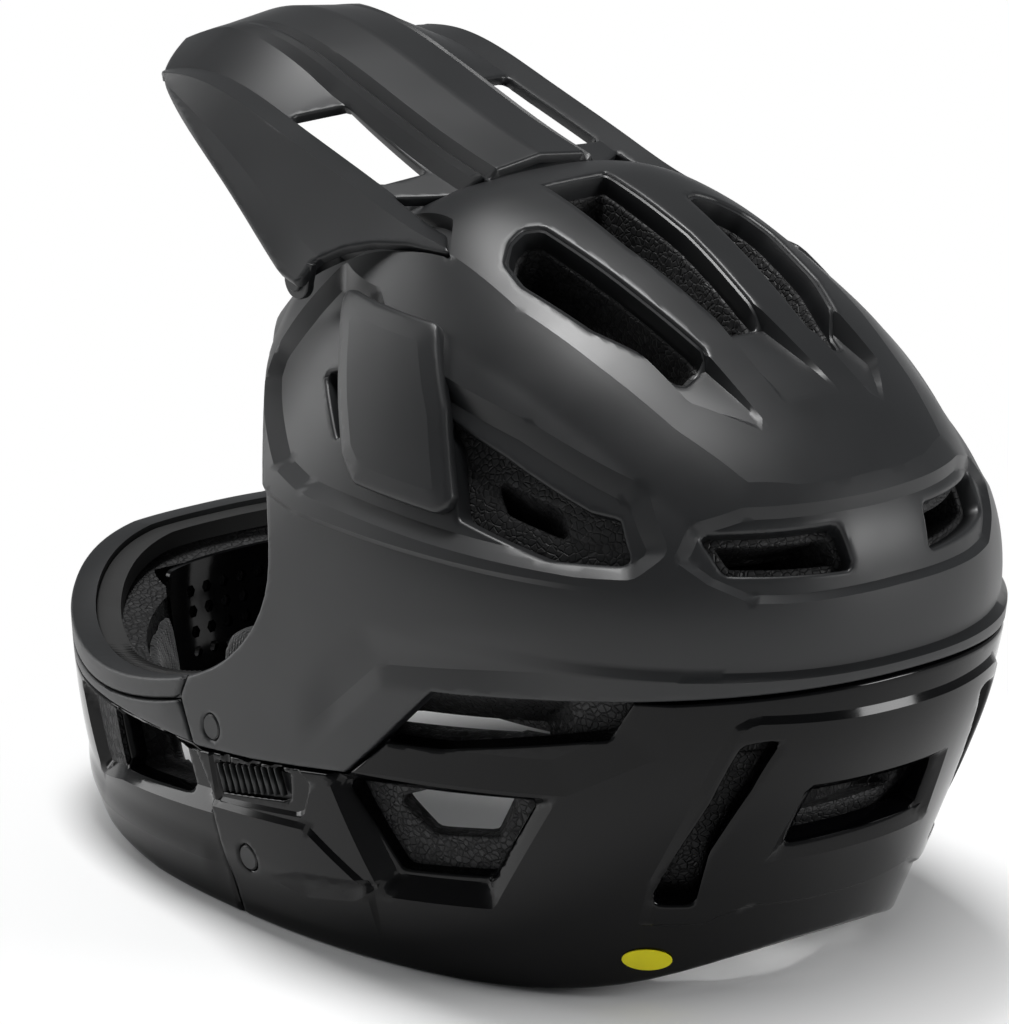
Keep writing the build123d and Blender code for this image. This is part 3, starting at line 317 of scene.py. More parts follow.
def planView(outline, corner=0.0, lowest=0.62, reach=40.0):
    outline = cornered(outline, corner)

    def distance(p):
        spots = np.c_[abs(p[:, 0]), p[:, 1]]
        return np.where(p[:, 2] > lowest * form["height"], insideBy(spots, outline, reach), -reach)

    return distance


def rearView(outline, corner=0.0, start=0.30):
    outline = cornered(outline, corner)

    def distance(p):
        inside = insideBy(np.c_[abs(p[:, 0]), p[:, 2]], outline)
        return np.where(p[:, 1] > start * form["halfLength"], inside, -40.0)

    return distance


def outside(distance):
    return lambda p: -distance(p)


def ease(share):
    share = np.clip(share, 0, 1)
    return share * share * (3 - 2 * share)


def link(name, data):
    piece = bpy.data.objects.new(name, data)
    bpy.context.scene.collection.objects.link(piece)
    return piece


def applied(piece, name):
    # Turns a piece's modifiers into its plain mesh
    made = bpy.data.meshes.new_from_object(piece.evaluated_get(bpy.context.evaluated_depsgraph_get()))
    piece.modifiers.clear()
    piece.data = made
    made.name = name
    return piece


def ringFaces(size, count, closed):
    # Quads between neighbouring rings of a tube
    faces = []
    for k in range(count if closed else count - 1):
        low, high = k * size, (k + 1) % count * size
        faces += [(low + i, low + (i + 1) % size, high + (i + 1) % size, high + i) for i in range(size)]
    return faces


def meshPiece(name, points, faces, material, sharp=50.0, folds=()):
    mesh = bpy.data.meshes.new(name)
    mesh.from_pydata((points * mm).tolist(), [], [tuple(f) for f in faces])
    mesh.update()
    mesh.materials.append(material)
    mesh.polygons.foreach_set("use_smooth", [True] * len(mesh.polygons))
    mesh.set_sharp_from_angle(angle=math.radians(sharp))
    if len(folds):
        ends = np.empty(2 * len(mesh.edges), int)
        mesh.edges.foreach_get("vertices", ends)
        a, b = ends.reshape(-1, 2).T
        crisp = np.empty(len(mesh.edges), bool)
        mesh.edges.foreach_get("use_edge_sharp", crisp)
        for fold in folds:  # edges that lie along a fold stay crisp
            crisp |= fold[a] & fold[b]
        mesh.edges.foreach_set("use_edge_sharp", crisp)
    return link(name, mesh)


# How a panel is cut, in mm; the shoulder is a share of its rim
cutting = {"keep": 8.0, "held": 0.02, "fold": 0.03, "shoulder": 0.29, "skirtFade": 1.6}


def panel(name, sheet, borders, material, relief=None, creases=(), rim=1.2, wall=3.0, skirt=0.0,
          outer=None, inner=None):
    # A closed piece on a sheet: cut to its borders, edges rounded, inner side and walls added
    sheet = {key: value.copy() for key, value in sheet.items()}
    for border in borders:
        values = border(sheet["p"])
        near = (values[sheet["faces"]] > -cutting["keep"]).any(1)
        sheet = keepFaces(sheet, near)
        sheet = cutAlong(sheet, border(sheet["p"]))
        values = border(sheet["p"])
        sheet = keepFaces(sheet, values[sheet["faces"]].mean(1) > 0)
        sheet["held"] |= abs(border(sheet["p"])) < cutting["held"]
    for crease in creases:
        sheet = cutAlong(sheet, crease(sheet["p"]), snap=0.25)
    inward = lambda p: np.min([border(p) for border in borders], axis=0)
    rings = [cutting["shoulder"] * rim, rim] + ([rim + cutting["skirtFade"]] if skirt else [])
    for ring in rings:
        sheet = cutAlong(sheet, inward(sheet["p"]) - ring, snap=0.2)
    p, n, faces = sheet["p"], sheet["n"], sheet["faces"]
    depth = np.clip(inward(p), 0, None)
    drop = np.where(depth < rim, rim - np.sqrt(np.maximum(rim**2 - (rim - depth) ** 2, 0)), 0)
    lift = relief(p) if relief else np.zeros(len(p))
    top = (outer(p) if outer else p) + n * (lift - drop)[:, None]
    extra = np.clip(1 - (depth - rim) / cutting["skirtFade"], 0, 1) * skirt
    under = inner(p) if inner else p + n * (lift - wall - extra)[:, None]
    total = len(p)
    folds = [np.r_[abs(crease(p)) < cutting["fold"], np.zeros(total, bool)] for crease in creases]
    directed = edgesOf(faces)
    forward, backward = directed @ (total, 1), directed @ (1, total)
    rimEdges = directed[~np.isin(forward, backward)]
    a, b = rimEdges.T
    walls = np.concatenate([np.c_[b, a, a + total], np.c_[b, a + total, b + total]])
    allFaces = np.concatenate([faces, faces[:, ::-1] + total, walls])
    print(f"{name}: {len(allFaces)} triangles")
    return meshPiece(name, np.concatenate([top, under]), allFaces, material, folds=folds)


def insetForm(p, side, front, rear, top):
    # The form drawn in by its four insets, as the part's own layers are
    return np.c_[
        p[:, 0] * (1 - side / form["halfWidth"]),
        p[:, 1] * (1 - (front + rear) / (2 * form["halfLength"])) + (front - rear) / 2,
        p[:, 2] * (1 - top / form["height"]),
    ]


# Materials
def toLinear(hexColour):
    parts = [int(hexColour[i : i + 2], 16) / 255 for i in (1, 3, 5)]
    return [c / 12.92 if c <= 0.04045 else ((c + 0.055) / 1.055) ** 2.4 for c in parts] + [1.0]


def addNode(tree, kind, sockets=None, **settings):
    node = tree.nodes.new(kind)
    for key, value in settings.items():
        setattr(node, key, value)
    for key, value in (sockets or {}).items():
        if isinstance(value, bpy.types.NodeSocket):
            tree.links.new(value, node.inputs[key])
        else:
            node.inputs[key].default_value = value
    return node


def newSurface(name, sockets):
    material = bpy.data.materials.new(name)
    material.use_nodes = True
    tree = material.node_tree
    tree.nodes.clear()
    shader = addNode(tree, "ShaderNodeBsdfPrincipled", sockets)
    addNode(tree, "ShaderNodeOutputMaterial", {"Surface": shader.outputs[0]})
    place = addNode(tree, "ShaderNodeTexCoord").outputs["Object"]
    return material, tree, shader, place


def painted(tree, shader, tone, rough, bump=None):
    tree.links.new(tone.outputs["Color"], shader.inputs["Base Color"])
    tree.links.new(rough.outputs["Result"], shader.inputs["Roughness"])
    if bump:
        tree.links.new(bump.outputs["Normal"], shader.inputs["Normal"])


def grainedPlastic(name, colour, roughness, grain, height, ior=1.5):
    # Slightly uneven gloss, in clouds about 38 mm wide, over a fine grain
    material, tree, shader, place = newSurface(name, {"IOR": ior})
    dark, pale = map(toLinear, colour)
    cloud = addNode(tree, "ShaderNodeTexNoise", {"Vector": place, "Scale": 26.0, "Detail": 4.0}).outputs["Fac"]
    fine = addNode(tree, "ShaderNodeTexNoise", {"Vector": place, "Scale": 1 / (grain * mm), "Detail": 2.0})
    tone = addNode(tree, "ShaderNodeMixRGB", {"Fac": cloud, "Color1": dark, "Color2": pale})
    rough = addNode(
        tree, "ShaderNodeMapRange",
        {"Value": cloud, "From Min": 0.3, "From Max": 0.7, "To Min": roughness[0], "To Max": roughness[1]},
    )
    bump = addNode(tree, "ShaderNodeBump", {"Height": fine.outputs["Fac"], "Strength": 0.5, "Distance": height * mm})
    painted(tree, shader, tone, rough, bump)
    return material


def beadFoam(name, colour, bead):
    # Fused beads a few mm across, with dark seams between them
    material, tree, shader, place = newSurface(name, {"IOR": 1.45})
    dark, pale, seam = map(toLinear, colour)
    grain = {"Vector": place, "Scale": 1 / (bead * mm)}
    cells = addNode(tree, "ShaderNodeTexVoronoi", grain, feature="DISTANCE_TO_EDGE").outputs["Distance"]
    tint = addNode(tree, "ShaderNodeTexVoronoi", grain)
    seams = addNode(tree, "ShaderNodeMapRange", {"Value": cells, "From Min": 0.0, "From Max": 0.16}).outputs["Result"]
    value = addNode(tree, "ShaderNodeSeparateColor", {"Color": tint.outputs["Color"]})
    beads = addNode(tree, "ShaderNodeMixRGB", {"Fac": value.outputs[0], "Color1": dark, "Color2": pale})
    tone = addNode(tree, "ShaderNodeMixRGB", {"Fac": seams, "Color1": seam, "Color2": beads.outputs["Color"]})
    rough = addNode(tree, "ShaderNodeMapRange", {"Value": value.outputs[1], "To Min": 0.5, "To Max": 0.8})
    bump = addNode(tree, "ShaderNodeBump", {"Height": seams, "Strength": 0.8, "Distance": 0.35 * mm})
    painted(tree, shader, tone, rough, bump)
    return material


def knitFabric(name, colour, pitch, lift, stretch=(1.0, 1.0, 1.0)):
    # Rows of small open cells in a knitted or woven face, with threads about 0.45 mm wide
    material, tree, shader, place = newSurface(name, {"IOR": 1.45, "Sheen Weight": 0.35, "Sheen Roughness": 0.5})
    dark, pale = map(toLinear, colour)
    place = addNode(tree, "ShaderNodeMapping", {"Vector": place, "Scale": stretch}).outputs["Vector"]
    cells = addNode(tree, "ShaderNodeTexVoronoi", {"Vector": place, "Scale": 1 / (pitch * mm), "Randomness": 0.25})
    thread = addNode(tree, "ShaderNodeTexNoise", {"Vector": place, "Scale": 2200.0, "Detail": 2.0}).outputs["Fac"]
    hollow = addNode(
        tree, "ShaderNodeMapRange", {"Value": cells.outputs["Distance"], "From Min": 0.15, "From Max": 0.5}
    ).outputs["Result"]
    tone = addNode(tree, "ShaderNodeMixRGB", {"Fac": hollow, "Color1": dark, "Color2": pale})
    both = addNode(tree, "ShaderNodeMath", {0: hollow, 1: thread}, operation="ADD")
    rough = addNode(tree, "ShaderNodeMapRange", {"Value": thread, "To Min": 0.8, "To Max": 0.98})
    bump = addNode(tree, "ShaderNodeBump", {"Height": both.outputs[0], "Strength": 0.9, "Distance": lift * mm})
    painted(tree, shader, tone, rough, bump)
    return material


def brushedSteel(name, colour):
    # Fine changes of gloss, about 1 mm apart
    material, tree, shader, place = newSurface(name, {"Metallic": 1.0})
    dark, pale = map(toLinear, colour)
    lines = addNode(tree, "ShaderNodeTexNoise", {"Vector": place, "Scale": 900.0, "Detail": 3.0}).outputs["Fac"]
    rough = addNode(tree, "ShaderNodeMapRange", {"Value": lines, "To Min": 0.22, "To Max": 0.4})
    tone = addNode(tree, "ShaderNodeMixRGB", {"Fac": lines, "Color1": dark, "Color2": pale})
    painted(tree, shader, tone, rough)
    return material


# Matte lacquer: wide soft highlights on dark grey
mattePaint = grainedPlastic("matte_lacquered_polycarbonate", ("#191a1b", "#1d1e20"), (0.38, 0.45), 0.5, 0.02)
# Gloss lacquer: near-black with sharp reflections
glossPaint = grainedPlastic(
    "gloss_lacquered_polycarbonate", ("#030304", "#050506"), (0.08, 0.12), 1.2, 0.002, ior=1.3
)
# Moulded nylon: fine grain with a dull sheen
mouldedNylon = grainedPlastic("moulded_nylon", ("#131415", "#1a1b1c"), (0.4, 0.52), 0.4, 0.03)
# Polished nylon: smoother, with a narrower highlight
shinyNylon = grainedPlastic("polished_nylon", ("#0c0c0d", "#111112"), (0.18, 0.26), 0.6, 0.01)
# Elastomer: dull, almost without highlights
softRubber = grainedPlastic("elastomer", ("#141414", "#1b1b1b"), (0.6, 0.75), 0.6, 0.04)
# Expanded polystyrene: mottled beads
blackFoam = beadFoam("expanded_polystyrene", ("#1c1c1d", "#2a2a2b", "#0d0d0e"), 2.2)
# Spacer mesh, webbing and ribbed lining: soft sheen over a cellular face
padKnit = knitFabric("spacer_mesh_fabric", ("#0e0e0f", "#1f2021"), 1.6, 0.3)
webNylon = knitFabric("woven_nylon_webbing", ("#0d0d0e", "#1c1c1d"), 0.9, 0.2)
liningKnit = knitFabric("ribbed_lining_fabric", ("#0f0f10", "#252627"), 1.8, 0.35, (1.0, 0.4, 2.2))
# Thread: paler than what it sews, so that stitches read
sewingThread = grainedPlastic("polyester_thread", ("#2c2d2f", "#3a3b3d"), (0.6, 0.75), 0.3, 0.05)
# Plated steel: bright, slightly uneven metal
plainSteel = brushedSteel("plated_steel", ("#8a8c8e", "#a8aaac"))
# Yellow plastic: plain and smooth
yellowCap = grainedPlastic("yellow_moulded_plastic", ("#efe400", "#f5ea14"), (0.25, 0.35), 0.5, 0.01)
print("materials made")

slotPaint = {
    "matte_shell": mattePaint, "gloss_shell": glossPaint, "trim_plastic": mouldedNylon, "foam": blackFoam,
    "pad_fabric": padKnit, "webbing": webNylon, "steel": plainSteel, "elastomer": softRubber,
    "yellow_plastic": yellowCap,
}
ownPaint = {"slip_liner": shinyNylon, "mouth_grille": glossPaint, "buckle_body": shinyNylon}
for entry in frame["record"]["subparts"]:
    piece = frame["nodes"][entry["node"]]
    piece.data.materials.clear()
    piece.data.materials.append(ownPaint.get(entry["node"], slotPaint[entry["material_slot"]]))

# Outlines of the side view, as shares of half length and height
seams = {
    "eye": [(-1.000, 0.336), (-0.897, 0.303), (-0.636, 0.266), (-0.321, 0.302), (-0.125, 0.369),
            (-0.010, 0.500), (-0.055, 0.610), (-0.145, 0.692), (-0.262, 0.748), (-0.350, 0.773), (-0.430, 0.782),
            (-0.540, 0.775)],
    "bottomFront": [(-1.150, 0.105), (-0.967, 0.078), (-0.761, 0.033), (-0.400, 0.000)],
    "bottomRear": [(0.380, 0.000), (0.543, 0.008), (0.652, 0.026), (0.800, 0.080), (1.150, 0.240)],
    "belt": [(-0.228, 0.222), (-0.054, 0.238), (0.201, 0.270), (0.272, 0.318), (0.418, 0.423),
             (0.788, 0.459), (1.150, 0.495)],
    "chin": [(-0.217, 0.363), (-0.269, 0.287), (-0.228, 0.222), (-0.179, 0.165), (-0.147, 0.066), (-0.100, -0.060)],
    "gap": 0.5,  # half of the dark line that shows between two shells, mm
    "trimHeight": 8.0,
}
far = 1.3
eyeLine = curveThrough(sideShares(seams["eye"]), 60)
eyeOutline = np.concatenate([eyeLine, sideShares([(-far, 0.775), (-far, 0.336)])])
frontLine = curveThrough(sideShares(seams["bottomFront"]), 20)
rearLine = curveThrough(sideShares(seams["bottomRear"]), 24)
underOutline = np.concatenate([frontLine, rearLine, sideShares([(far, -0.2), (-far, -0.2)])])
upperOutline = sideShares([(-far, far), (far, far), (far, 0.495)]) + sideShares(seams["belt"][::-1])
upperOutline += sideShares(seams["chin"][1::-1]) + sideShares([(-far, 0.363)])
lowerOutline = sideShares(seams["belt"]) + sideShares([(far, 0.495), (far, -0.06)]) + sideShares(seams["chin"][:1:-1])
chinOutline = sideShares(seams["chin"]) + sideShares([(-far, -0.06), (-far, 0.363)])


def shrunk(distance, gap):
    return lambda p: distance(p) - gap


eyeIn, underIn = sideView(eyeOutline), sideView(underOutline)
trimIn = sideView(eyeOutline - (0, seams["trimHeight"]))
upperIn = shrunk(sideView(upperOutline), seams["gap"])
lowerIn = shrunk(sideView(lowerOutline), seams["gap"])
chinIn = shrunk(sideView(chinOutline), seams["gap"])

windows = {
    "temple": [(0.304, 0.780), (0.478, 0.746), (0.663, 0.700), (0.712, 0.697), (0.761, 0.640), (0.625, 0.633),
               (0.435, 0.660), (0.370, 0.745)],
    "templeSlot": [(-0.015, 0.775), (0.040, 0.790), (0.110, 0.730), (0.090, 0.705)],
    "beltSlot": [(0.276, 0.330), (0.410, 0.440), (0.795, 0.474), (0.735, 0.398), (0.420, 0.342)],
    "cheek": [(0.180, 0.256), (0.592, 0.294), (0.472, 0.155), (0.285, 0.137)],
    "grille": [(-0.165, 0.213), (0.050, 0.240), (0.048, 0.200), (-0.152, 0.172)],
    "chinVent": [(-0.545, 0.210), (-0.295, 0.217), (-0.262, 0.145), (-0.510, 0.122)],
    "rearSlot": [(132, 38), (140.5, 38), (149, 58), (163, 81), (173, 100), (166, 98), (155, 77), (137, 48)],  # mm
    "corner": 2.5,
    "capPlaces": [(-0.171, 0.262), (-0.076, 0.094)],
    "capHole": 4.65,
}
templeWindow = sideView(sideShares(windows["temple"]), windows["corner"])
templeSlot = sideView(sideShares(windows["templeSlot"]), 1.5)
beltSlot = sideView(sideShares(windows["beltSlot"]), windows["corner"])
cheekWindow = sideView(sideShares(windows["cheek"]), windows["corner"])
grilleWindow = sideView(sideShares(windows["grille"]))
chinVent = sideView(sideShares(windows["chinVent"]), windows["corner"])
rearSlot = sideView(windows["rearSlot"], 2.0)
outerVentLine = [(50, 48), (43, 42), (36, 40), (30, 43), (25, 84), (21, 114), (34, 118), (47, 87), (52, 59)]
centreVentLine = [(-30, 22), (13, 22), (13, 64), (8, 107), (-30, 107)]
outerVent, centreVent = planView(outerVentLine, 3), planView(centreVentLine, 0)
rearPort = rearView([(18, 166), (16.4, 151.3), (56.7, 152.8), (59.4, 165)], 2.5)
rearWindow = rearView([(-60, 77.6), (25.6, 77.6), (27.8, 57.8), (-60, 57.8)], 0)
mouthLine = rounded([(-36, 36), (36, 36), (36, 69), (-36, 69)], 3)


def mouthVent(p):
    return np.where(p[:, 1] < -80, insideBy(np.c_[p[:, 0], p[:, 2]], mouthLine), -40.0)


def capHoles(p):
    # Round holes of the flush bolt caps, positive inside
    spots = sideShares(windows["capPlaces"])
    return np.max([windows["capHole"] - np.hypot(p[:, 1] - y, p[:, 2] - z) for y, z in spots], axis=0)


spacing = form["spacing"]
egg = eggSheet(spacing)
print(f"form meshed: {len(egg['p'])} points")


def fading(p, fade):
    # Share of a feature that is left at each point: axis, where it starts, full, full, ends
    if not fade:
        return 1.0
    axis, start, full, last, end = fade
    along = p[:, axis]
    return ease((along - start) / (full - start)) * ease((end - along) / (end - last))


def heightOf(features, p):
    # Bevels rise over their width inside a line; folds rise towards a line from both sides
    lift = np.zeros(len(p))
    for feature in features:
        d = feature["line"](p)
        if "width" in feature:
            share = np.clip(d / feature["width"], 0, 1)
        else:
            share = np.where(d < 0, np.clip(1 + d / feature["below"], 0, 1), ease(1 - d / feature["above"]))
        lift += feature["rise"] * share * fading(p, feature.get("fade")) * fading(p, feature.get("fadeUp"))
    return lift


def creasesOf(features):
    lines = []
    for feature in features:
        lines.append(feature["line"])
        if "width" in feature:
            lines.append(shrunk(feature["line"], feature["width"]))
    return lines


# Upper shell: crown cap, temple recess, chamfer over the belt, recessed rear band and vent tails
cap = {
    "crease": [(57, -60), (57.5, 29), (58, 65), (53.5, 99), (48, 130), (40, 154), (26, 162), (12, 166),
               (-90, 166), (-90, -60)],
    "drop": 3.0,  # how far the sides fall away under the crease
    "slope": 17.0,
    "back": 52.0,  # where the sides meet the plain form again
}
upperMarks = [
    {"line": sideView([(-27, 205), (-41, 184), (-37, 175), (-18, 163), (-6, 155), (10, 151.5), (74, 150),
                       (126, 149), (142, 150), (149, 159), (134, 177), (92, 190), (54, 198), (30, 204),
                       (10, 215), (-20, 215)], 5),
     "rise": -3.6, "width": 5.0},
    {"line": sideView([(-34, 300), (-50, 184), (-46, 174), (-26, 156), (-10, 147), (8, 144.5), (75, 145), (150, 145),
                       (165, 160), (165, 300)], 5),
     "rise": 1.6, "width": 1.6, "fade": (1, -60, -40, 84, 132), "fadeUp": (2, -1, 0, 192, 220)},
    {"line": sideView([(12, 71), (26, 83), (39, 94), (53, 106), (85, 111.5), (117, 117), (159, 119), (220, 121),
                       (220, 250), (-60, 250), (-60, 71)]),
     "rise": -2.0, "below": 7.5, "above": 15.0, "fade": (1, 14, 34, 92, 136)},
    {"line": rearView([(-60, 171), (13, 171.5), (45, 171.5), (60, 167.5), (67, 157), (61, 150), (51, 144),
                       (38, 143.5), (-60, 144.5)]),
     "rise": -2.0, "width": 2.6},
    {"line": planView([(21.8, 106), (22.4, 148), (39, 125), (40.4, 101), (36, 98)]),
     "rise": -6.0, "width": 1.4, "fade": (1, 0, 1, 104, 147)},
    {"line": planView([(-40, -30), (18.6, -30), (18.6, 5.2), (-40, 5.2)]), "rise": 1.6, "width": 2.0},
    {"line": planView([(13, -64), (36, -64), (38, -14), (13, -14)], 6), "rise": 3.2, "width": 9.0},
    {"line": planView([(45, -45), (59.5, -45), (62, 10), (58.6, 31), (47, 18.6), (45, -10)]),
     "rise": -4.6, "width": 1.2},
    {"line": planView([(-40, 98), (9, 98), (11.5, 139), (-40, 139)]),
     "rise": -5.0, "width": 1.4, "fade": (1, 0, 1, 100, 140)},
]
capIn = planView(cap["crease"], 0, 0.5, 60.0)


def upperRelief(p):
    out = -capIn(p)
    fall = np.clip(out / cap["slope"], 0, 1) * (1 - ease((out - cap["slope"]) / (cap["back"] - cap["slope"])))
    return heightOf(upperMarks, p) - cap["drop"] * fall


upperShell = panel(
    "UpperShell", egg,
    [upperIn, outside(eyeIn), outside(templeWindow), outside(templeSlot), outside(outerVent), outside(centreVent),
     outside(rearPort), outside(capHoles)],
    mattePaint, upperRelief, creases=creasesOf(upperMarks) + [capIn], rim=1.1, skirt=4.0,
)
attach(upperShell, "helmet")
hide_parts("upper_shell")

# Smooth moulded cups that line the crown vents down to the foam
cups = {
    "step": 2.5,
    "short": 0.5,  # of its start, so that no two places meet
    "outwards": 0.6,  # where the shell's relief is read
    "rings": [(-1.2, -1.6), (0.2, -1.0), (0.9, -1.4), (1.9, -9.0), (1.5, -9.6), (0.8, -9.0), (-1.2, -3.0)],
}
castFrom = {"above": 400.0, "beside": 200}  # where rays onto the form start


def ventCup(name, outline, side):
    # Rings of (inset from the outline, depth under the form) joined into one closed wall
    outline = np.asarray(outline, float)
    line = outlineSteps(outline, cups["step"], cups["short"])
    run = np.roll(line, -1, 0) - np.roll(line, 1, 0)
    inwards = np.c_[-run[:, 1], run[:, 0]] / np.linalg.norm(run, axis=1, keepdims=True)
    if insideBy(line + inwards, outline).mean() < 0:
        inwards = -inwards
    for _ in range(3):
        inwards = np.roll(inwards, 1, 0) + inwards + np.roll(inwards, -1, 0)
        inwards /= np.linalg.norm(inwards, axis=1, keepdims=True)
    rings, lifts = [], []
    for x, y in line - inwards * cups["outwards"]:
        place = formTree.ray_cast(Vector((side * x, y, castFrom["above"])), Vector((0, 0, -1)))[0]
        lifts.append(upperRelief(np.array([place]))[0])
    lifts = np.array([np.roll(lifts, k) for k in (-1, 0, 1)]).mean(axis=0)
    for inset, depth in cups["rings"]:
        ring = []
        for (x, y), lift in zip(line + inwards * inset, lifts):
            place, normal = formTree.ray_cast(Vector((side * x, y, castFrom["above"])), Vector((0, 0, -1)))[:2]
            ring.append(np.array(place) + np.array(normal) * math.copysign(1, normal[2]) * (lift + depth))
        rings.append(ring)
    faces = ringFaces(len(line), len(rings), True)
    piece = meshPiece(name, np.concatenate(rings), faces, mattePaint, 45.0)
    outwards(piece)
    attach(piece, "helmet")


def outwards(piece):
    # Faces of a closed piece turned to point outwards
    mesh = bmesh.new()
    mesh.from_mesh(piece.data)
    bmesh.ops.recalc_face_normals(mesh, faces=mesh.faces)
    mesh.to_mesh(piece.data)
    mesh.free()


formTree = BVHTree.FromPolygons([tuple(p) for p in egg["p"]], [tuple(f) for f in egg["faces"]])
ventCup("VentCupLeft", rounded(outerVentLine, 3), 1)
ventCup("VentCupRight", rounded(outerVentLine, 3), -1)
centreLine = centreVentLine[1:-1]
ventCup("VentCupMiddle", centreLine + [(-x, y) for x, y in centreLine[::-1]], 1)

# Lower shell: facets round the slot and the cheek window, a proud plate under the grille, raised rear panel
lowerMarks = [
    {"line": sideView([(31, 75), (39, 67), (61, 70), (93, 73), (120, 75.5), (147, 92), (165, 135), (85, 135),
                       (25, 120), (12, 90)]),
     "rise": -2.6, "width": 11.0},
    {"line": sideView([(27, 65.5), (117, 74), (88, 29.5), (47, 25)], 2), "rise": -5.8, "width": 6.0},
    {"line": sideView([(-60, 35), (-27, 38.6), (17, 43), (44, 27), (44, -10), (-60, -10)]),
     "rise": 1.5, "width": 1.8, "fade": (2, 9, 24, 400, 401)},
    {"line": sideView([(-6, 18.6), (12, 25.4), (50, 30.5), (36, 21.0), (14, 16.4)]), "rise": -1.4, "width": 3.2},
    {"line": rearView([(60, 29), (61.5, 46), (58.5, 81), (55, 104), (50, 108), (20, 107), (-60, 106.5), (-60, 35),
                       (11, 34), (33, 35), (40, 32), (44, 29)]),
     "rise": 1.6, "width": 2.2},
    {"line": rearView([(-60, 82), (29, 82), (33, 53.5), (-60, 53.5)]), "rise": -2.4, "width": 4.0},
    {"line": sideView([(-34, 57), (14, 62), (21, 57), (16, 44.5), (-30, 38)], 2), "rise": -1.0, "width": 1.4},
]


def lowerRelief(p):
    return heightOf(lowerMarks, p)


lowerShell = panel(
    "LowerShell", egg,
    [lowerIn, outside(underIn), outside(beltSlot), outside(cheekWindow), outside(grilleWindow), outside(rearSlot),
     outside(rearWindow), outside(capHoles)],
    glossPaint, lowerRelief, creases=creasesOf(lowerMarks), rim=1.0, skirt=4.0,
)
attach(lowerShell, "helmet")
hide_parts("lower_shell")

# Chin bar: matte brow over the vents and glossy bar below them, with a ridge and a channel
chinSplit = sideView([(-20, 54.5), (-50, 54.5), (-99, 53), (-127, 52.5), (-184, 57), (-250, 60),
                      (-250, 250), (-20, 250)])
chinMarks = [
    {"line": sideView([(-128, 51.5), (-99, 52.6), (-36, 55.5), (-30, 33), (-92, 26.5), (-113, 21.5)], 2),
     "rise": -5.0, "width": 6.0},
    {"line": sideView([(-20, 69), (-50, 70), (-108, 71), (-184, 78), (-250, 80), (-250, 250), (-20, 250)]),
     "rise": 1.8, "below": 16.0, "above": 13.0, "fade": (1, -400, -300, -62, -44)},
    {"line": sideView([(-20, 16.5), (-112, 11.5), (-184, 22), (-250, 24), (-250, 250), (-20, 250)]),
     "rise": 1.6, "below": 12.0, "above": 9.0, "fade": (1, -400, -300, -40, -28)},
]


def chinRelief(p):
    return heightOf(chinMarks, p)


for name, part, paint in (
    ("ChinBrow", chinSplit, mattePaint), ("ChinBar", outside(chinSplit), glossPaint),
):
    piece = panel(
        name, egg, [chinIn, part, outside(trimIn), outside(underIn), outside(chinVent), outside(mouthVent)],
        paint, chinRelief, creases=creasesOf(chinMarks), rim=0.9, skirt=3.0,
    )
    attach(piece, "helmet")
    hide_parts("chin_bar")


def drawnIn(inset):
    return lambda p: insetForm(p, inset, inset, inset, 0)


trim = {"gap": 0.5, "face": 8, "strip": 8.2, "back": 16, "under": 1.6}
chinTrim = panel(
    "ChinTrim", egg, [chinIn, shrunk(trimIn, trim["gap"]), outside(eyeIn)], mattePaint, rim=1.2,
    inner=drawnIn(trim["face"]),
)
trimStrip = panel(
    "TrimStrip", egg, [chinIn, shrunk(trimIn, trim["gap"]), outside(shrunk(eyeIn, -trim["under"]))], softRubber,
    rim=0.8, outer=drawnIn(trim["strip"]), inner=drawnIn(trim["back"]),
)
for piece in (chinTrim, trimStrip):
    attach(piece, "helmet")
    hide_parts("chin_trim")

# Fine net that closes the mouth vent behind its grille
net = {"over": 3.0, "sunk": 4.2, "wall": 0.8}
mouthNet = panel(
    "MouthNet", egg, [shrunk(mouthVent, -net["over"])], padKnit, lambda p: np.full(len(p), -net["sunk"]),
    rim=0.3, wall=net["wall"],
)
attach(mouthNet, "helmet")

# Bead foam behind the shells: close to them at the edges, sunk deep round every window
foam = {"seat": 7.3, "sunk": 3.5, "near": 9.0, "ramp": 5.0, "eye": 0.8, "vent": 2.6, "port": 2.5}
templeHole = sideView(sideShares([(0.450, 0.722), (0.600, 0.700), (0.640, 0.662), (0.500, 0.680)]), 2.0)
beltHole = sideView([(44, 78.5), (104, 86), (121, 93), (121, 103), (62, 95.5), (44, 88.5)], 0.8)
cheekHole = sideView(sideShares([(0.265, 0.232), (0.377, 0.266), (0.541, 0.270), (0.484, 0.205),
                                 (0.346, 0.190)]), 2.5)
foamWindows = [templeWindow, templeSlot, beltSlot, cheekWindow, rearSlot, rearPort, rearWindow]


def foamRelief(p):
    opened = np.max([window(p) for window in foamWindows], axis=0)
    return -foam["seat"] - foam["sunk"] * ease((opened + foam["near"]) / foam["ramp"])


headRegion = sideView(sideShares([(-far, 0.362), (far, 0.362), (far, far), (-far, far)]))
lowerRegion = sideView(
    sideShares([(far, 0.361), (far, -0.06)]) + sideShares(seams["chin"][:0:-1]) + sideShares([(-0.217, 0.361)])
)
neckLine = sideView(underOutline + (0, 7.3))
foams = {
    "HeadFoam": (
        [headRegion, outside(shrunk(eyeIn, -foam["eye"])), outside(templeHole), outside(beltHole),
         outside(shrunk(outerVent, foam["vent"])), outside(shrunk(centreVent, foam["vent"])),
         outside(shrunk(rearPort, foam["port"]))],
        (24, 26, 38, 30), ("crown_liner", "band_liner"),
    ),
    "LowerFoam": (
        [lowerRegion, outside(shrunk(eyeIn, -foam["eye"])), outside(neckLine), outside(cheekHole),
         outside(beltHole), outside(shrunk(rearWindow, foam["port"]))],
        (22, 22, 28, 0), ("lower_liner",),
    ),
}
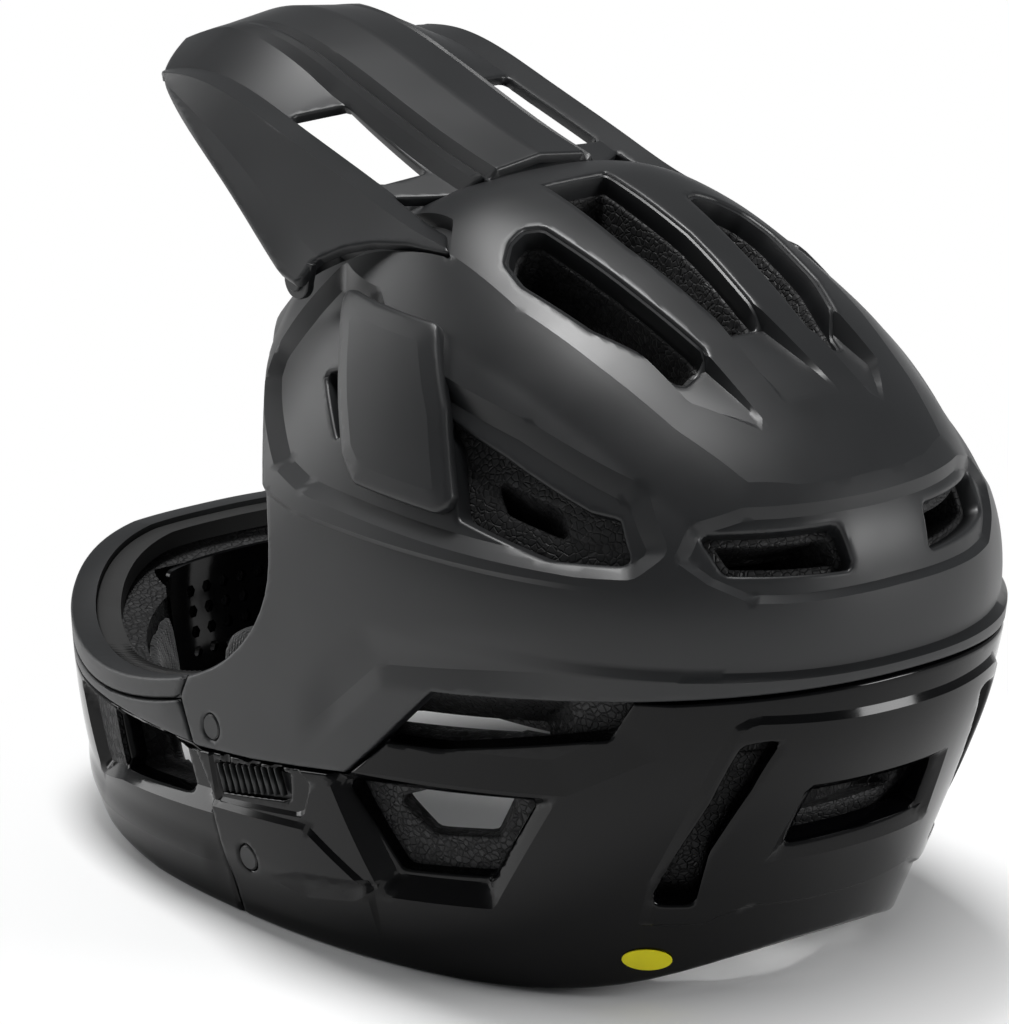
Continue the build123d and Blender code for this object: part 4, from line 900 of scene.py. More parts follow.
for name, (borders, insets, nodes) in foams.items():
    piece = panel(name, egg, borders, blackFoam, foamRelief, rim=1.0, inner=lambda p: insetForm(p, *insets))
    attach(piece, "helmet")
    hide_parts(*nodes)
print("shells made")

# Temple covers: thick tongues that stand proud of the recess
covers = {
    "outline": [(-5, 212), (7, 197), (17, 180), (26, 166.5), (35, 160), (74, 159), (79.5, 163), (64, 189),
                (46, 210)],
    "proud": 2.3,
    "crown": 0.8,  # rise of the middle over the edge
    "wall": 4.0,
}
coverIn = sideView(covers["outline"], 5)
coverMarks = [{"line": coverIn, "rise": covers["crown"], "width": 6.0}]
templeCovers = panel(
    "TempleCovers", egg, [coverIn], mattePaint,
    lambda p: covers["proud"] - covers["crown"] + heightOf(coverMarks, p),
    creases=creasesOf(coverMarks)[1:], rim=1.3, wall=covers["wall"],
)
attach(templeCovers, "helmet")
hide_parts("temple_cover_left", "temple_cover_right")

# Visor: arched plate with a raised centre band, a ribbed channel, a scoop to each slot and a side flange
visor = {
    "front": -158.0, "length": 190.0, "wall": 2.6,
    "stations": [0.00, 0.12, 0.26, 0.50, 0.726, 0.874, 1.00],
    "crest": [259, 268.5, 272.5, 264, 251.3, 244.8, 240],
    "rail": [247, 254, 258, 249.5, 238, 230.6, 227.2],
    "creaseX": [48, 54, 62, 68.5, 74.6, 77, 78],
    "crease": [249, 253, 252.5, 237, 220.5, 214.5, 211],
    "rimX": [54, 60, 66, 75, 82.5, 85, 86],
    "rim": [246.5, 249.5, 249.5, 231.3, 212, 206, 202],
    "band": 18.0, "channel": 20.5, "rib": 22.6, "ledge": 24.4, "foot": 27.5, "slotOuter": 46.0, "ridge": 56.5,
    # line, how far it lies under the crest, and how much deeper where the channel is full
    "steps": [("band", 2.4, 0.0), ("channel", 2.6, 3.4), ("rib", 2.8, 1.9), ("ledge", 3.0, 3.6), ("foot", 3.4, 8.0)],
    "slotDip": 0.8, "flangeOut": 20, "flangeDown": 18,
    "scoopStart": -126.0, "scoopFull": -70.0,
    "curve": [(-27, -151.5), (0, -158), (27, -151.5), (39, -144), (51, -132.5), (60, -118), (66, -104),
              (75, -64), (82.5, -28)],
    "outline": [(82.8, -17), (76, -16), (70, -9), (65, 0), (60.5, 12), (57.6, 29), (48, 17), (46.5, -12),
                (20, 5), (0, 5)],
    "slots": [(27.5, -63), (45.5, -69), (45.5, -20.5), (29, -18)],
}


def visorHeight(x, y):
    # Height of the plate, straight between the lines that run along it
    s = np.clip((y - visor["front"]) / visor["length"], -0.05, 1.05)
    crest, rail, creaseX, crease, rimX, rim = (
        smoothThrough(visor["stations"], visor[key], s)
        for key in ("crest", "rail", "creaseX", "crease", "rimX", "rim")
    )
    scoop = np.clip((y - visor["scoopStart"]) / (visor["scoopFull"] - visor["scoopStart"]), 0, 1)
    across = np.abs(x)
    lines = [(0 * s, crest)]
    lines += [(0 * s + visor[key], crest - under - deep * scoop) for key, under, deep in visor["steps"]]
    lines += [
        (0 * s + visor["slotOuter"], rail - visor["slotDip"] * scoop), (0 * s + visor["ridge"], rail),
        (creaseX, crease), (rimX, rim), (rimX + visor["flangeOut"], rim - visor["flangeDown"]),
    ]
    height = np.array(lines[0][1], float)
    for (lowX, lowZ), (highX, highZ) in zip(lines, lines[1:]):
        share = np.clip((across - lowX) / np.maximum(highX - lowX, 0.1), 0, 1)
        height = np.where(across >= lowX, lowZ + (highZ - lowZ) * share, height)
    return height


visorLine = [tuple(place) for place in curveThrough(visor["curve"], 60) if place[0] >= 0] + visor["outline"]
visorLine = visorLine + [(-x, y) for x, y in visorLine[::-1] if x > 0]
visorIn = lambda p: insideBy(p[:, :2], np.asarray(visorLine, float))
visorSlot = lambda p: insideBy(np.c_[abs(p[:, 0]), p[:, 1]], rounded(visor["slots"], 2))
plate = plateSheet(98.0, visor["front"] - 6.0, 36.0, visorHeight, spacing * 0.8)


def alongLine(key):
    return lambda p: np.where(abs(p[:, 1]) < 900, abs(p[:, 0]) - visor[key], 0)


def flangeLine(p):
    s = np.clip((p[:, 1] - visor["front"]) / visor["length"], 0, 1)
    return abs(p[:, 0]) - smoothThrough(visor["stations"], visor["creaseX"], s)


visorLines = [alongLine(key) for key in ("band", "channel", "rib", "ledge", "foot", "slotOuter", "ridge")]
plate["p"][:, 2] = visorHeight(plate["p"][:, 0], plate["p"][:, 1])
for line in visorLines + [flangeLine]:
    plate = cutAlong(plate, line(plate["p"]), snap=0.35)
    plate["p"][:, 2] = visorHeight(plate["p"][:, 0], plate["p"][:, 1])
plate["n"] = pointNormals(plate["p"], plate["faces"])
visorPlate = panel(
    "VisorPlate", plate, [visorIn, outside(visorSlot)], mattePaint, creases=visorLines + [flangeLine], rim=0.9,
    wall=visor["wall"], skirt=0.8,
)
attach(visorPlate, "visor_body")
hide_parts("visor")


def slab(name, outline, low, high, material, bevel=0.5):
    # Plate with a side-view outline between two x planes, its edges rounded
    mesh = bmesh.new()
    base = [mesh.verts.new((low * mm, y * mm, z * mm)) for y, z in outline]
    face = mesh.faces.new(base)
    raised = bmesh.ops.extrude_face_region(mesh, geom=[face])["geom"]
    corners = [v for v in raised if isinstance(v, bmesh.types.BMVert)]
    bmesh.ops.translate(mesh, vec=((high - low) * mm, 0, 0), verts=corners)
    bmesh.ops.recalc_face_normals(mesh, faces=mesh.faces)
    data = bpy.data.meshes.new(name)
    mesh.to_mesh(data)
    mesh.free()
    data.materials.append(material)
    data.polygons.foreach_set("use_smooth", [True] * len(data.polygons))
    data.set_sharp_from_angle(angle=math.radians(40))
    piece = link(name, data)
    edge = piece.modifiers.new("Edge", "BEVEL")
    edge.width, edge.segments, edge.limit_method = bevel * mm, 2, "ANGLE"
    return piece


lugs = {"y": -24.0, "z": 210.0, "radius": 6.2, "top": 217.0, "inner": 75.0, "outer": 78.0}
turns = np.linspace(math.pi, 2 * math.pi, 17)
lugLine = [(lugs["y"] + lugs["radius"] * math.cos(t), lugs["z"] + lugs["radius"] * math.sin(t)) for t in turns]
lugLine += [(lugs["y"] + lugs["radius"] + 2, lugs["top"]), (lugs["y"] - lugs["radius"] - 2, lugs["top"])]
for side, name in ((1, "VisorLugLeft"), (-1, "VisorLugRight")):
    piece = slab(name, lugLine, side * lugs["inner"], side * lugs["outer"], mattePaint)
    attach(piece, "visor_body")
print("visor made")


# Rays onto the form, to seat what lies on it
def onSurface(tree, start, direction):
    place, normal, _, _ = tree.ray_cast(Vector(start), Vector(direction).normalized())
    return (np.array(place), np.array(normal)) if place else (None, None)


def seatOn(side, y, z):
    # Place on one side of the form, and the direction out of it
    place, normal = onSurface(formTree, (side * castFrom["beside"], y, z), (-side, 0, 0))
    return place, normal if normal[0] * side > 0 else -normal


# One scatter tree: a small rounded shape on every point, facing and turned by two stored directions
def scatterTree(name, shape):
    tree = bpy.data.node_groups.new(name, "GeometryNodeTree")
    inputs = {}
    kinds = {"Geometry": "Geometry", "Length": "Float", "Width": "Float", "Height": "Float", "Material": "Material"}
    for label, kind in kinds.items():
        socket = tree.interface.new_socket(label, in_out="INPUT", socket_type="NodeSocket" + kind)
        inputs[label] = socket.identifier
    tree.interface.new_socket("Geometry", in_out="OUTPUT", socket_type="NodeSocketGeometry")
    start = addNode(tree, "NodeGroupInput")
    facing = addNode(tree, "GeometryNodeInputNamedAttribute", {"Name": "facing"}, data_type="FLOAT_VECTOR")
    along = addNode(tree, "GeometryNodeInputNamedAttribute", {"Name": "along"}, data_type="FLOAT_VECTOR")
    stand = addNode(tree, "FunctionNodeAlignRotationToVector", {"Vector": facing.outputs["Attribute"]}, axis="Z")
    turn = addNode(
        tree, "FunctionNodeAlignRotationToVector",
        {"Rotation": stand.outputs["Rotation"], "Vector": along.outputs["Attribute"]}, axis="X", pivot_axis="Z",
    )
    size = addNode(
        tree, "ShaderNodeCombineXYZ",
        {"X": start.outputs["Length"], "Y": start.outputs["Width"], "Z": start.outputs["Height"]},
    )
    if shape == "bead":
        solid = addNode(tree, "GeometryNodeMeshUVSphere", {"Segments": 8, "Rings": 5, "Radius": 0.5}).outputs["Mesh"]
    elif shape == "bar":
        rod = addNode(tree, "GeometryNodeMeshCylinder", {"Vertices": 12, "Radius": 0.5, "Depth": 1.0})
        solid = addNode(
            tree, "GeometryNodeTransform", {"Geometry": rod.outputs["Mesh"], "Rotation": (0.0, math.pi / 2, 0.0)}
        ).outputs["Geometry"]
    else:
        body = addNode(tree, "GeometryNodeMeshCylinder", {"Vertices": 48, "Radius": 0.5, "Depth": 1.0})
        body = addNode(
            tree, "GeometryNodeTransform", {"Geometry": body.outputs["Mesh"], "Translation": (0, 0, -0.68)}
        )
        edge = addNode(
            tree, "GeometryNodeMeshCone", {"Vertices": 48, "Radius Top": 0.45, "Radius Bottom": 0.5, "Depth": 0.18}
        )
        edge = addNode(
            tree, "GeometryNodeTransform", {"Geometry": edge.outputs["Mesh"], "Translation": (0, 0, -0.18)}
        )
        solid = addNode(tree, "GeometryNodeJoinGeometry")
        tree.links.new(body.outputs["Geometry"], solid.inputs["Geometry"])
        tree.links.new(edge.outputs["Geometry"], solid.inputs["Geometry"])
        solid = solid.outputs["Geometry"]
    smooth = addNode(tree, "GeometryNodeSetShadeSmooth", {"Geometry": solid, "Shade Smooth": shape != "head"})
    copies = addNode(
        tree, "GeometryNodeInstanceOnPoints",
        {"Points": start.outputs["Geometry"], "Instance": smooth.outputs["Geometry"],
         "Rotation": turn.outputs["Rotation"], "Scale": size.outputs["Vector"]},
    )
    real = addNode(tree, "GeometryNodeRealizeInstances", {"Geometry": copies.outputs["Instances"]})
    paint = addNode(
        tree, "GeometryNodeSetMaterial", {"Geometry": real.outputs["Geometry"], "Material": start.outputs["Material"]}
    )
    addNode(tree, "NodeGroupOutput", {"Geometry": paint.outputs["Geometry"]})
    return tree, inputs


scatter = {shape: scatterTree(f"Scatter {shape}", shape) for shape in ("bead", "bar", "head")}


def scattered(name, shape, spots, length, width, height, material):
    # Copies of a shape at (place, facing, along) spots, as one plain mesh
    mesh = bpy.data.meshes.new(name)
    mesh.from_pydata([tuple(np.asarray(place) * mm) for place, _, _ in spots], [], [])
    for label, part in (("facing", 1), ("along", 2)):
        layer = mesh.attributes.new(label, "FLOAT_VECTOR", "POINT")
        layer.data.foreach_set("vector", np.array([spot[part] for spot in spots], float).ravel())
    base = link(name, mesh)
    modifier = base.modifiers.new("Scatter", "NODES")
    modifier.node_group, inputs = scatter[shape]
    values = {"Length": length * mm, "Width": width * mm, "Height": height * mm, "Material": material}
    for label, value in values.items():
        modifier[inputs[label]] = value
    return applied(base, name)


# Flush bolt caps in rings, on the left and right cheeks
caps = {"wide": 8.6, "tall": 2.4, "sunk": 0.2, "parting": 50}  # above the parting they sit on the matte shell
capSpots = []
for side in (1, -1):
    for y, z in sideShares(windows["capPlaces"]):
        place, normal = seatOn(side, y, z)
        relief = upperRelief if z > caps["parting"] else lowerRelief
        capSpots.append((place + normal * (relief(place[None])[0] - caps["sunk"]), normal, (0, 0, 1)))
boltCaps = scattered("BoltCaps", "head", capSpots, caps["wide"], caps["wide"], caps["tall"], mouldedNylon)
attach(boltCaps, "helmet")
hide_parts("chin_bolts")

# Side grilles: a dark pan with slanted ribs in it
grille = {
    "ribs": 10, "front": -26.0, "rear": 5.0, "low": (42.6, 49.6), "high": (51.0, 57.4), "lean": 2.6, "deep": 1.6,
    "long": 9.4, "wide": 1.7, "thick": 2.6, "panOver": 0.6, "panSunk": 3.4, "panWall": 1.4,
}
grillePan = panel(
    "GrillePan", egg, [shrunk(grilleWindow, -grille["panOver"])], mouldedNylon,
    lambda p: np.full(len(p), -grille["panSunk"]), rim=0.3, wall=grille["panWall"],
)
ribSpots = []
for side in (1, -1):
    for share in np.linspace(0, 1, grille["ribs"]):
        y = grille["front"] + share * (grille["rear"] - grille["front"])
        low = grille["low"][0] + share * (grille["low"][1] - grille["low"][0])
        high = grille["high"][0] + share * (grille["high"][1] - grille["high"][0])
        bottom, normal = seatOn(side, y, low)
        top = seatOn(side, y - grille["lean"], high)[0]
        ribSpots.append(((bottom + top) / 2 - normal * grille["deep"], normal, top - bottom))
grilleRibs = scattered(
    "GrilleRibs", "bar", ribSpots, grille["long"], grille["wide"], grille["thick"], mouldedNylon
)
for piece in (grillePan, grilleRibs):
    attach(piece, "helmet")
    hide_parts("side_grille_left", "side_grille_right")

# Ribbed soft strip inside the chin trim
def levelPlace(turn, height, inset):
    # Place on the form's outline at a height, drawn in evenly; the turn runs from the front
    row = smoothThrough(eggRows[:, 0], eggRows, [height / form["height"]])[0]
    wide, middle, nose, tail, nosePower, tailPower = row[1:]
    side, ahead = math.sin(turn), -math.cos(turn)
    power = tailPower if ahead > 0 else nosePower
    span = tail - middle if ahead > 0 else middle - nose
    x = wide * math.copysign(abs(side) ** (2 / power), side) * form["halfWidth"]
    y = (middle + span * math.copysign(abs(ahead) ** (2 / power), ahead)) * form["halfLength"]
    return insetForm(np.array([[x, y, height]]), inset, inset, inset, 0)[0]


strip = {"inset": 12.2, "drop": 1.9, "height": 7.0, "width": 1.7, "proud": 1.8, "count": 151, "sweep": 1.42,
         "level": 80.0, "facing": 60.0}
stripSpots = []
for turn in np.linspace(-strip["sweep"], strip["sweep"], strip["count"]):
    height = strip["level"]
    for _ in range(6):
        place = levelPlace(turn, height, strip["inset"])
        height = np.interp(place[1], eyeLine[:, 0][:30], eyeLine[:, 1][:30]) - strip["drop"]
    inwards = np.array([-place[0], -place[1] - strip["facing"], 0.0])
    stripSpots.append((np.r_[place[:2], height], (0, 0, 1), inwards / np.linalg.norm(inwards)))
trimRibs = scattered("TrimRibs", "bar", stripSpots, strip["height"], strip["width"], strip["proud"], softRubber)
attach(trimRibs, "helmet")
print("grilles, caps and ribs made")

# Padded pieces: each starts from its node, is remeshed, swells under cloth pressure and then gets its seams
pads = {  # node: piece, body, voxel and how far it may swell (mm), fill, space between seams (mm)
    "brow_pad": ("BrowPad", "slip_body", 2.6, 1.6, 0.5, 26.0),
    "temple_pads": ("TemplePads", "slip_body", 2.6, 1.6, 0.5, 0.0),
    "rear_pad": ("RearPad", "slip_body", 2.6, 1.6, 0.5, 30.0),
    "crown_pads": ("CrownPads", "slip_body", 2.2, 1.2, 0.5, 24.0),
    "cheek_pad_left": ("CheekPadLeft", "cheek_left_body", 3.0, 3.0, 0.7, 0.0),
    "cheek_pad_right": ("CheekPadRight", "cheek_right_body", 3.0, 3.0, 0.7, 0.0),
    "chin_linings": ("ChinLinings", "helmet", 2.0, 0.7, 0.3, 0.0),
    "neck_trim": ("NeckRoll", "helmet", 2.2, 1.2, 0.6, 0.0),
}


sewing = {"shrink": 0.45, "deep": 1.5, "wide": 1.7, "centre": 20, "radius": 82}  # mm
swelling = {"pressure": 4.0, "quality": 4, "mass": 0.2, "steps": 20}


def softCopy(name, node, voxel, material):
    # Merged and evenly remeshed copy of a node, a little smaller than it
    source = frame["nodes"][node]
    mesh = bmesh.new()
    mesh.from_mesh(source.data)
    bmesh.ops.remove_doubles(mesh, verts=mesh.verts, dist=0.02 * mm)
    data = bpy.data.meshes.new(name)
    mesh.to_mesh(data)
    mesh.free()
    piece = link(name, data)
    even = piece.modifiers.new("Even", "REMESH")
    even.mode, even.voxel_size = "VOXEL", voxel * mm
    applied(piece, name)
    piece.data.materials.clear()
    piece.data.materials.append(material)
    return piece


def placesOf(piece):
    places = np.empty(len(piece.data.vertices) * 3)
    piece.data.vertices.foreach_get("co", places)
    return places.reshape(-1, 3)


def normalsOf(piece):
    normals = np.empty(len(piece.data.vertices) * 3)
    piece.data.vertex_normals.foreach_get("vector", normals)
    return normals.reshape(-1, 3)


def setPlaces(piece, places):
    piece.data.vertices.foreach_set("co", places.ravel())
    piece.data.update()


softPieces = {}
for node, (name, body, voxel, swell, fill, pitch) in pads.items():
    piece = softCopy(name, node, voxel, liningKnit if node == "chin_linings" else padKnit)
    places = placesOf(piece)
    setPlaces(piece, places - normalsOf(piece) * sewing["shrink"] * mm)
    softPieces[node] = (piece, placesOf(piece))
    cloth = piece.modifiers.new("Cloth", "CLOTH")
    cloth.settings.use_pressure = True
    cloth.settings.uniform_pressure_force = swelling["pressure"]
    cloth.settings.effector_weights.gravity = 0.0
    cloth.settings.quality = swelling["quality"]
    cloth.settings.mass = swelling["mass"]
    cloth.point_cache.frame_start, cloth.point_cache.frame_end = 1, swelling["steps"]
scene = bpy.context.scene
for step in range(1, swelling["steps"] + 1):
    scene.frame_set(step)
for node, (piece, start) in softPieces.items():
    name, body, voxel, swell, fill, pitch = pads[node]
    held = piece.evaluated_get(bpy.context.evaluated_depsgraph_get()).data
    swollen = np.empty(len(held.vertices) * 3)
    held.vertices.foreach_get("co", swollen)
    move = swollen.reshape(-1, 3) - start
    length = np.linalg.norm(move, axis=1, keepdims=True)
    piece.modifiers.clear()
    setPlaces(piece, start + move * np.minimum(1, swell * mm / np.maximum(length, 1e-9)))
    places, normals = placesOf(piece), normalsOf(piece)
    seam = np.full(len(places), 99.0)
    if node in ("brow_pad", "rear_pad"):  # upright sewn channels round the head
        around = np.arctan2(places[:, 0] / mm, abs(places[:, 1] / mm - sewing["centre"])) * sewing["radius"]
        seam = abs((around + pitch / 2) % pitch - pitch / 2)
    elif node == "crown_pads":
        along = places[:, 1] / mm
        seam = abs((along + 3) % pitch - pitch / 2)
    elif node.startswith("cheek"):  # two curved channels across the cheek
        y, z = places[:, 1] / mm, places[:, 2] / mm
        bow = 0.006 * (y + 26) ** 2
        seam = np.minimum(abs(z - 70 + bow), abs(z - 40 - bow))
    dent = sewing["deep"] * np.exp(-((seam / sewing["wide"]) ** 2)) * mm
    setPlaces(piece, places - normals * dent[:, None])
    piece.data.polygons.foreach_set("use_smooth", [True] * len(piece.data.polygons))
    fine = piece.modifiers.new("Fine", "SUBSURF")
    fine.levels = fine.render_levels = 1
    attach(piece, body)
    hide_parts(node)
scene.frame_set(1)
print("pads made")

# Stitches: dashes sewn along lines that are cast onto the pads and webbing
stitch = {"pitch": 3.4, "length": 2.2, "width": 0.7, "height": 0.6}


def padTree(piece):
    places = placesOf(piece) / mm
    faces = [tuple(f.vertices) for f in piece.data.polygons]
    return BVHTree.FromPolygons([tuple(p) for p in places], faces)


def sewn(tree, starts, directions, closed=True):
    # Dashes along the line where rays from starts meet the piece
    places, normals = [], []
    for start, direction in zip(starts, directions):
        place, normal = onSurface(tree, start, direction)
        if place is not None:
            places.append(place)
            normals.append(normal if normal @ np.asarray(direction) < 0 else -normal)
    if len(places) < 4:
        return []
    if closed:
        places.append(places[0])
        normals.append(normals[0])
    places, normals = np.array(places), np.array(normals)
    along = lengthAlong(places)
    spots = []
    for at in np.arange(stitch["pitch"] / 2, along[-1], stitch["pitch"]):
        here = np.array([np.interp(at, along, places[:, k]) for k in range(3)])
        ahead = np.array([np.interp(at + 0.5, along, places[:, k]) for k in range(3)])
        face = np.array([np.interp(at, along, normals[:, k]) for k in range(3)])
        i = min(np.searchsorted(along, at), len(along) - 1)
        if along[i] - along[i - 1] < 12:
            spots.append((here, face, ahead - here))
    return spots


padStitches = {"slip_body": [], "cheek_left_body": [], "cheek_right_body": []}
tree = padTree(softPieces["temple_pads"][0])
for side in (1, -1):
    line = outlineSteps(rounded([(1, 146), (55, 146), (47, 169.5), (8, 169.5)], 9))
    padStitches["slip_body"] += sewn(tree, [(0, y, z) for y, z in line], [(side, 0, 0)] * len(line))
tree = padTree(softPieces["crown_pads"][0])
for side in (1, -1):
    line = outlineSteps(rounded([(16.4, 14), (21.6, 14), (20.8, 80), (16.4, 80)], 2))
    padStitches["slip_body"] += sewn(tree, [(side * x, y, 150) for x, y in line], [(0, 0, 1)] * len(line))
for node, heights, ahead in (("brow_pad", (190.5, 200.5), -1), ("rear_pad", (144.6, 168.6), 1)):
    tree = padTree(softPieces[node][0])
    for height in heights:
        fan = np.linspace(-1.25, 1.25, 70)
        rays = [(math.sin(t), ahead * math.cos(t), 0) for t in fan]
        padStitches["slip_body"] += sewn(tree, [(0, 40, height)] * len(rays), rays, closed=False)
for side, node, body in ((1, "cheek_pad_left", "cheek_left_body"), (-1, "cheek_pad_right", "cheek_right_body")):
    tree = padTree(softPieces[node][0])
    line = outlineSteps(rounded([(-46, 34), (-6, 34), (-6, 76), (-46, 76)], 12))
    padStitches[body] += sewn(tree, [(0, y, z) for y, z in line], [(side, 0, 0)] * len(line))
for body, spots in padStitches.items():
    name = "".join(word.title() for word in body.split("_")[:-1]) + "Stitches"
    piece = scattered(name, "bead", spots, stitch["length"], stitch["width"], stitch["height"], sewingThread)
    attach(piece, body)
print("pad stitches made")

# Chin strap: flat webbing from each anchor down and inwards to the buckle
strap = {
    "y": 24.0, "width": 20.0, "thickness": 1.7, "count": 70,
    "path": [(79.6, 96), (79.6, 80), (79.6, 64), (79.4, 52), (75.5, 39), (65, 27), (49.5, 19.9),
             (36, 16.6), (25.3, 15.0)],
    "end": (17.6, 15.0),  # where the right one reaches further, into the buckle
    "edge": 7.6, "boxSeams": (11, 26),
}


def ribbon(name, path, width, thickness, material):
    # Webbing with rounded selvedges swept along an x-z path
    path = curveThrough(path, strap["count"])
    along = np.gradient(path, axis=0)
    along /= np.linalg.norm(along, axis=1, keepdims=True)
    normal = np.c_[-along[:, 1], along[:, 0]]
    turns = np.linspace(0, 2 * np.pi, 28, endpoint=False)
    across = width / 2 * np.sign(np.cos(turns)) * abs(np.cos(turns)) ** 0.25
    up = thickness / 2 * np.sign(np.sin(turns)) * abs(np.sin(turns)) ** 0.5
    rings = [
        np.c_[here[0] + n[0] * up, strap["y"] + across, here[1] + n[1] * up] for here, n in zip(path, normal)
    ]
    size = len(turns)
    faces = ringFaces(size, len(rings), False)
    faces += [tuple(range(size))[::-1], tuple((len(rings) - 1) * size + i for i in range(size))]
    piece = meshPiece(name, np.concatenate(rings), faces, material, 40.0)
    outwards(piece)
    return piece, path, normal


def webSpot(path, normal, at, face, across, turned=False):
    # One stitch on a face of the webbing, along it or turned across it
    along = lengthAlong(path)
    x, z = (np.interp(at, along, path[:, k]) for k in range(2))
    nx, nz = (np.interp(at, along, normal[:, k]) * face for k in range(2))
    lift = strap["thickness"] / 2
    place = (x + nx * lift, strap["y"] + across, z + nz * lift)
    return place, (nx, 0, nz), (0, 1, 0) if turned else (nz * face, 0, -nx * face)


for side, name, node in ((1, "StrapLeft", "strap_left"), (-1, "StrapRight", "strap_right")):
    route = [(side * x, z) for x, z in strap["path"] + ([] if side > 0 else [strap["end"]])]
    piece, path, normal = ribbon(name, route, strap["width"], strap["thickness"], webNylon)
    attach(piece, "helmet")
    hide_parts(node)
    spots = []
    for face in (1, -1):
        for edge in (strap["edge"], -strap["edge"]):
            for at in np.arange(4, lengthAlong(path)[-1] - 3, stitch["pitch"]):
                spots.append(webSpot(path, normal, at, face, edge))
        for at in strap["boxSeams"]:  # they close the loop round the anchor
            for across in np.arange(-strap["edge"], strap["edge"], stitch["pitch"] * 0.8):
                spots.append(webSpot(path, normal, at, face, across, turned=True))
    piece = scattered(
        name + "Stitches", "bead", spots, stitch["length"], stitch["width"], stitch["height"], sewingThread
    )
    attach(piece, "helmet")
print("straps made")

# Domed rivet heads and pivot screw heads over their plain solids
screws = {"y": -24.0, "z": 210.0, "x": 79.3, "rivetX": 76.9, "rivetY": 24.0, "rivetZ": 92.0,
          "wide": 7.0, "tall": 2.0, "rivetWide": 8.4, "rivetTall": 1.6}
heads = [((side * screws["x"], screws["y"], screws["z"]), (side, 0, 0), (0, 0, 1)) for side in (1, -1)]
piece = scattered("PivotScrewHeads", "head", heads, screws["wide"], screws["wide"], screws["tall"], mouldedNylon)
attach(piece, "helmet")
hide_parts("visor_screws")
heads = [
    ((side * screws["rivetX"], screws["rivetY"], screws["rivetZ"]), (-side, 0, 0), (0, 0, 1)) for side in (1, -1)
]
piece = scattered(
    "RivetHeads", "head", heads, screws["rivetWide"], screws["rivetWide"], screws["rivetTall"], plainSteel
)
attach(piece, "helmet")

# Camera at the photograph's angle
view = {
    "lens": 240.0, "sensor": 36.0, "end": 30.0,
    "place": (1.35685, 1.66147, 0.78999), "towards": (-0.601, -0.742, -0.297),
}
camera = link("Camera", bpy.data.cameras.new("Camera"))
camera.data.lens, camera.data.sensor_width, camera.data.clip_end = view["lens"], view["sensor"], view["end"]
camera.location = view["place"]
camera.rotation_mode = "QUATERNION"
camera.rotation_quaternion = Vector(view["towards"]).to_track_quat("-Z", "Y")
bpy.context.scene.camera = camera

# Pale floor that fades into the white background
ground = {"half": 6, "colour": "#fbfbfb", "fadeStart": 0.13, "fadeEnd": 0.25}  # metres
floorMesh = bpy.data.meshes.new("Floor")
corners = [(x * ground["half"], y * ground["half"], 0) for x, y in ((-1, -1), (1, -1), (1, 1), (-1, 1))]
floorMesh.from_pydata(corners, [], [(0, 1, 2, 3)])
floor = link("Floor", floorMesh)
floorPaint = bpy.data.materials.new("pale_floor")
floorPaint.use_nodes = True
tree = floorPaint.node_tree
tree.nodes.clear()
floorColour = addNode(tree, "ShaderNodeBsdfDiffuse", {"Color": toLinear(ground["colour"])})
white = addNode(tree, "ShaderNodeEmission", {"Color": (1, 1, 1, 1), "Strength": 1.0})
place = addNode(tree, "ShaderNodeTexCoord").outputs["Object"]
length = addNode(tree, "ShaderNodeVectorMath", {0: place}, operation="LENGTH")
fade = addNode(
    tree, "ShaderNodeMapRange",
    {"Value": length.outputs["Value"], "From Min": ground["fadeStart"], "From Max": ground["fadeEnd"]},
)
rays = addNode(tree, "ShaderNodeLightPath").outputs
seen = rays["Is Camera Ray"]
for ray in ("Is Glossy Ray", "Is Transmission Ray"):
    seen = addNode(tree, "ShaderNodeMath", {0: seen, 1: rays[ray]}, operation="MAXIMUM").outputs[0]
share = addNode(tree, "ShaderNodeMath", {0: seen, 1: fade.outputs["Result"]}, operation="MULTIPLY")
blend = addNode(
    tree, "ShaderNodeMixShader", {"Fac": share.outputs[0], 1: floorColour.outputs[0], 2: white.outputs[0]}
)
addNode(tree, "ShaderNodeOutputMaterial", {"Surface": blend.outputs[0]})
floorMesh.materials.append(floorPaint)

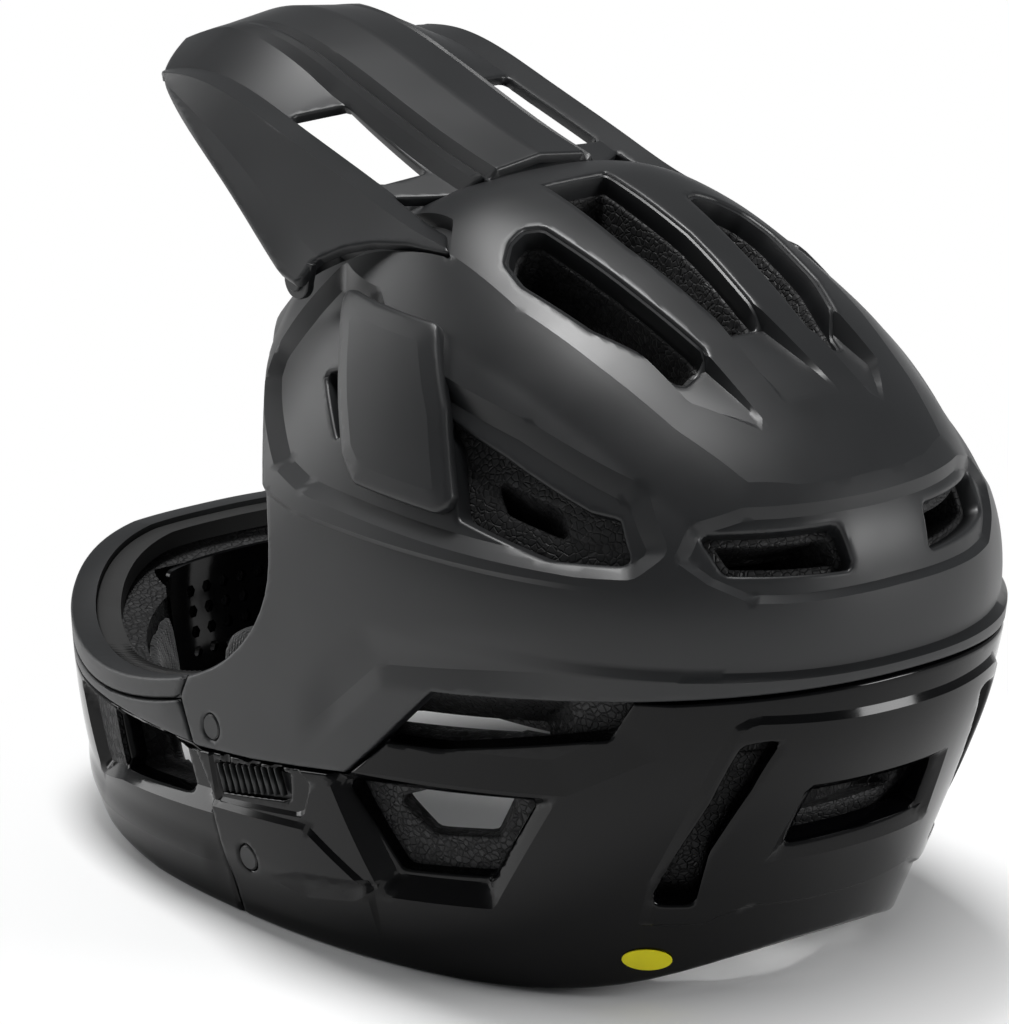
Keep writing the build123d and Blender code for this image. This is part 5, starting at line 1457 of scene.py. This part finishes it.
# Studio dome: bright low down all round, dark overhead, so that gloss keeps deep blacks
dome = {"colour": "#e4e6e8", "rise": 0.5, "low": 0.42, "high": 0.16}
world = bpy.data.worlds.new("Studio")
bpy.context.scene.world = world
world.use_nodes = True
tree = world.node_tree
tree.nodes.clear()
rays = addNode(tree, "ShaderNodeLightPath").outputs
seen = addNode(
    tree, "ShaderNodeMath", {0: rays["Is Camera Ray"], 1: rays["Is Transmission Ray"]}, operation="MAXIMUM"
)
towards = addNode(tree, "ShaderNodeTexCoord").outputs["Generated"]
direction = addNode(tree, "ShaderNodeSeparateXYZ", {"Vector": towards})
level = addNode(
    tree, "ShaderNodeMapRange",
    {"Value": direction.outputs["Z"], "From Min": 0.0, "From Max": dome["rise"],
     "To Min": dome["low"], "To Max": dome["high"]},
)
soft = addNode(
    tree, "ShaderNodeBackground", {"Color": toLinear(dome["colour"]), "Strength": level.outputs["Result"]}
)
bright = addNode(tree, "ShaderNodeBackground", {"Color": (1, 1, 1, 1), "Strength": 1.0})
blend = addNode(tree, "ShaderNodeMixShader", {"Fac": seen.outputs[0], 1: soft.outputs[0], 2: bright.outputs[0]})
addNode(tree, "ShaderNodeOutputWorld", {"Surface": blend.outputs[0]})

studio = [  # name, place, width and height in metres, watts
    ("Key", (-0.1, -0.4, 2.3), 0.6, 0.6, 44.0),
    ("Rear", (-1.3, 2.1, 1.0), 0.8, 0.8, 30.0),
    ("Front", (0.8, -1.9, 0.85), 0.6, 1.7, 13.0),
]
for name, spot, wide, tall, power in studio:
    lamp = bpy.data.objects.new(name, bpy.data.lights.new(name, "AREA"))
    lamp.data.shape, lamp.data.size, lamp.data.size_y = "RECTANGLE", wide, tall
    lamp.data.energy = power
    lamp.location = spot
    lamp.rotation_mode = "QUATERNION"
    lamp.rotation_quaternion = (Vector((0, 0, 0.12)) - Vector(spot)).to_track_quat("-Z", "Y")
    bpy.context.scene.collection.objects.link(lamp)
bpy.context.scene.view_settings.view_transform = "Standard"
print("studio made")
